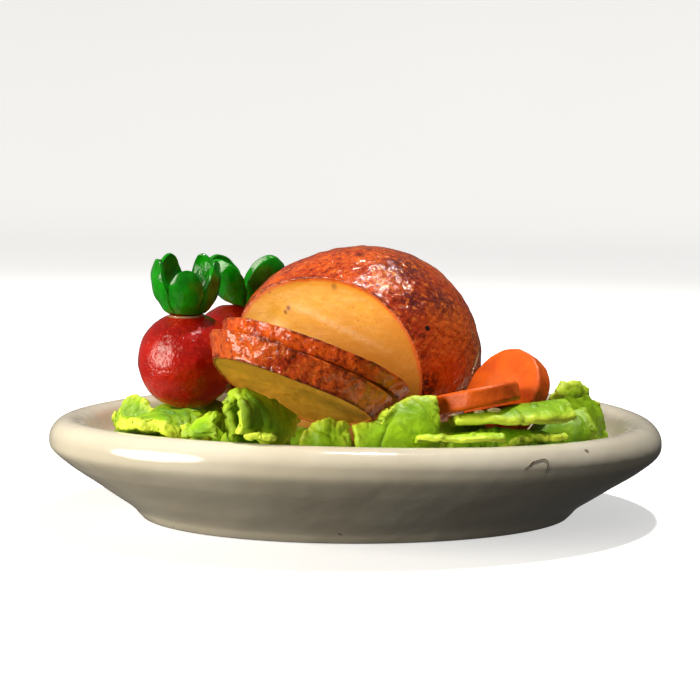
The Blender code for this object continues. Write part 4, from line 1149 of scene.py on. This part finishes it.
glue = dict(
    blobs=(  # place and reach
        ((4.95, -9.93, 7.42), (0.26, 0.10, 0.09)), ((5.75, -9.90, 7.50), (0.36, 0.12, 0.10)),
        ((3.75, -9.60, 7.20), (0.16, 0.08, 0.07)), ((0.85, -6.50, 8.35), (0.20, 0.16, 0.10)),
    ),
    ring=dict(tomato="tomato_1", reach=1.12, radius=0.08, first=185.0, last=330.0),
    wisp=((6.15, -1.35, 10.75), (6.55, -0.95, 10.1), (6.72, -0.70, 9.5), (6.5, -1.15, 8.9), (6.15, -1.75, 8.3)),
    wispRadius=0.06,
)
scraps = dict(
    hair=(  # x and z on the lip
        (7.0, 4.78), (7.1, 4.88), (7.26, 4.96), (7.46, 5.12), (7.76, 5.18), (8.04, 5.22), (8.22, 5.18),
        (8.32, 5.02), (8.3, 4.80), (8.24, 4.66), (8.18, 4.52)),
    hairRadius=0.022,
    flake=dict(middle=(-2.35, -7.65, 8.95), along=(0.9, -0.1, -0.25), up=(0.1, -0.6, 0.8), reach=(0.42, 0.17, 0.05)),
)
blobShape = dict(segments=32, rings=15, pole=0.15, unevenness=0.5, lumpSize=0.8)  # lumps as shares of the reach
strandShape = dict(segments=12, steps=8, pole=0.12, bluntness=0.5)


def makeStrand(name, line, radius, material, slot):  # a closed round strand that thins out to its ends
    shape, line = strandShape, smoothLine(line, strandShape["steps"])
    along = unitRows(np.gradient(line, axis=0))
    right = unitRows(np.cross(along, (0.3, 0.2, 1.0)))
    upward = np.cross(along, right)
    thick = radius * np.sin(np.linspace(shape["pole"], math.pi - shape["pole"], len(line))) ** shape["bluntness"]
    turns = turnsRound(shape["segments"])[:, None, None]
    rings = line + (np.cos(turns) * right + np.sin(turns) * upward) * thick[:, None]
    points, faces = skinRings(rings.swapaxes(0, 1), line[0], line[-1])
    place(name, makeMesh(name, points, faces), material, slot)


def makeBlob(name, middle, reach, material, slot, seed, along=(1, 0, 0), up=(0, 0, 1)):
    along, up, shape = unit(along), unit(up), blobShape
    turns = turnsRound(shape["segments"])
    angles = np.linspace(shape["pole"], math.pi - shape["pole"], shape["rings"])[:, None]
    level = np.cos(angles) + 0 * turns
    rings = np.stack([np.cos(turns) * np.sin(angles), np.sin(turns) * np.sin(angles), level], -1) * reach
    lumps = shape["unevenness"] * unevenness(rings, max(reach) * shape["lumpSize"], seed)
    rings = np.array(middle) + rings * (1 + lumps)[..., None] @ np.array([along, np.cross(up, along), up])
    placeRound(name, rings, material, slot)


def lipFront(x, height):  # the place on the front of the platter's lip, with this x and height
    radius = plate["lipRadius"]
    inset = radius - math.sqrt(max(0, radius ** 2 - (height - plate["height"] + radius) ** 2))
    share = math.sqrt(1 - (x / (plate["length"] / 2 - inset)) ** 2)
    return x, -(plate["depth"] / 2 - inset) * share - 0.02, height


def flatLook(colour, rough):
    def look(here):
        return {"Base Color": blend(cloud(here, 4.0, 3.0), colour, (*(0.6 * part for part in colour[:3]), 1.0)),
                "Roughness": rough + cloud(here, 5.0) * 0.1}
    return look


clearGlue = makeMaterial("clearGlue", flatLook(tone(236, 214, 160), 0.04), {"Alpha": 0.30, "Specular IOR Level": 0.8})
flakeClay = makeMaterial("flakeClay", flatLook(tone(226, 150, 60), 0.3), {"Coat Weight": 0.3})
darkHair = makeMaterial("darkHair", flatLook(tone(70, 46, 30), 0.4), {"Specular IOR Level": 0.3})
for number, (middle, reach) in enumerate(glue["blobs"]):
    makeBlob(f"glue_blob_{number + 1}", middle, reach, clearGlue, "carrot" if number < 3 else "gammon", 71 + number)
ring, foot = glue["ring"], tomatoes[glue["ring"]["tomato"]]
turns = np.radians(np.linspace(ring["first"], ring["last"], 14))
ringLine = np.column_stack([np.cos(turns) * ring["reach"], np.sin(turns) * ring["reach"]]) + crowns["crown_1"]["lean"]
ringHeight = np.sqrt(foot["radius"] ** 2 - (ringLine ** 2).sum(1))
makeStrand("glue_ring", np.array(foot["centre"]) + np.column_stack([ringLine, ringHeight]), ring["radius"],
           clearGlue, "crown")
makeStrand("glue_wisp", glue["wisp"], glue["wispRadius"], clearGlue, "gammon")
makeStrand("lip_hair", [lipFront(*spot) for spot in scraps["hair"]], scraps["hairRadius"], darkHair, "glaze")
flake = scraps["flake"]
makeBlob("slice_flake", flake["middle"], flake["reach"], flakeClay, "gammon", 77, flake["along"], flake["up"])
print("glue and scraps added")
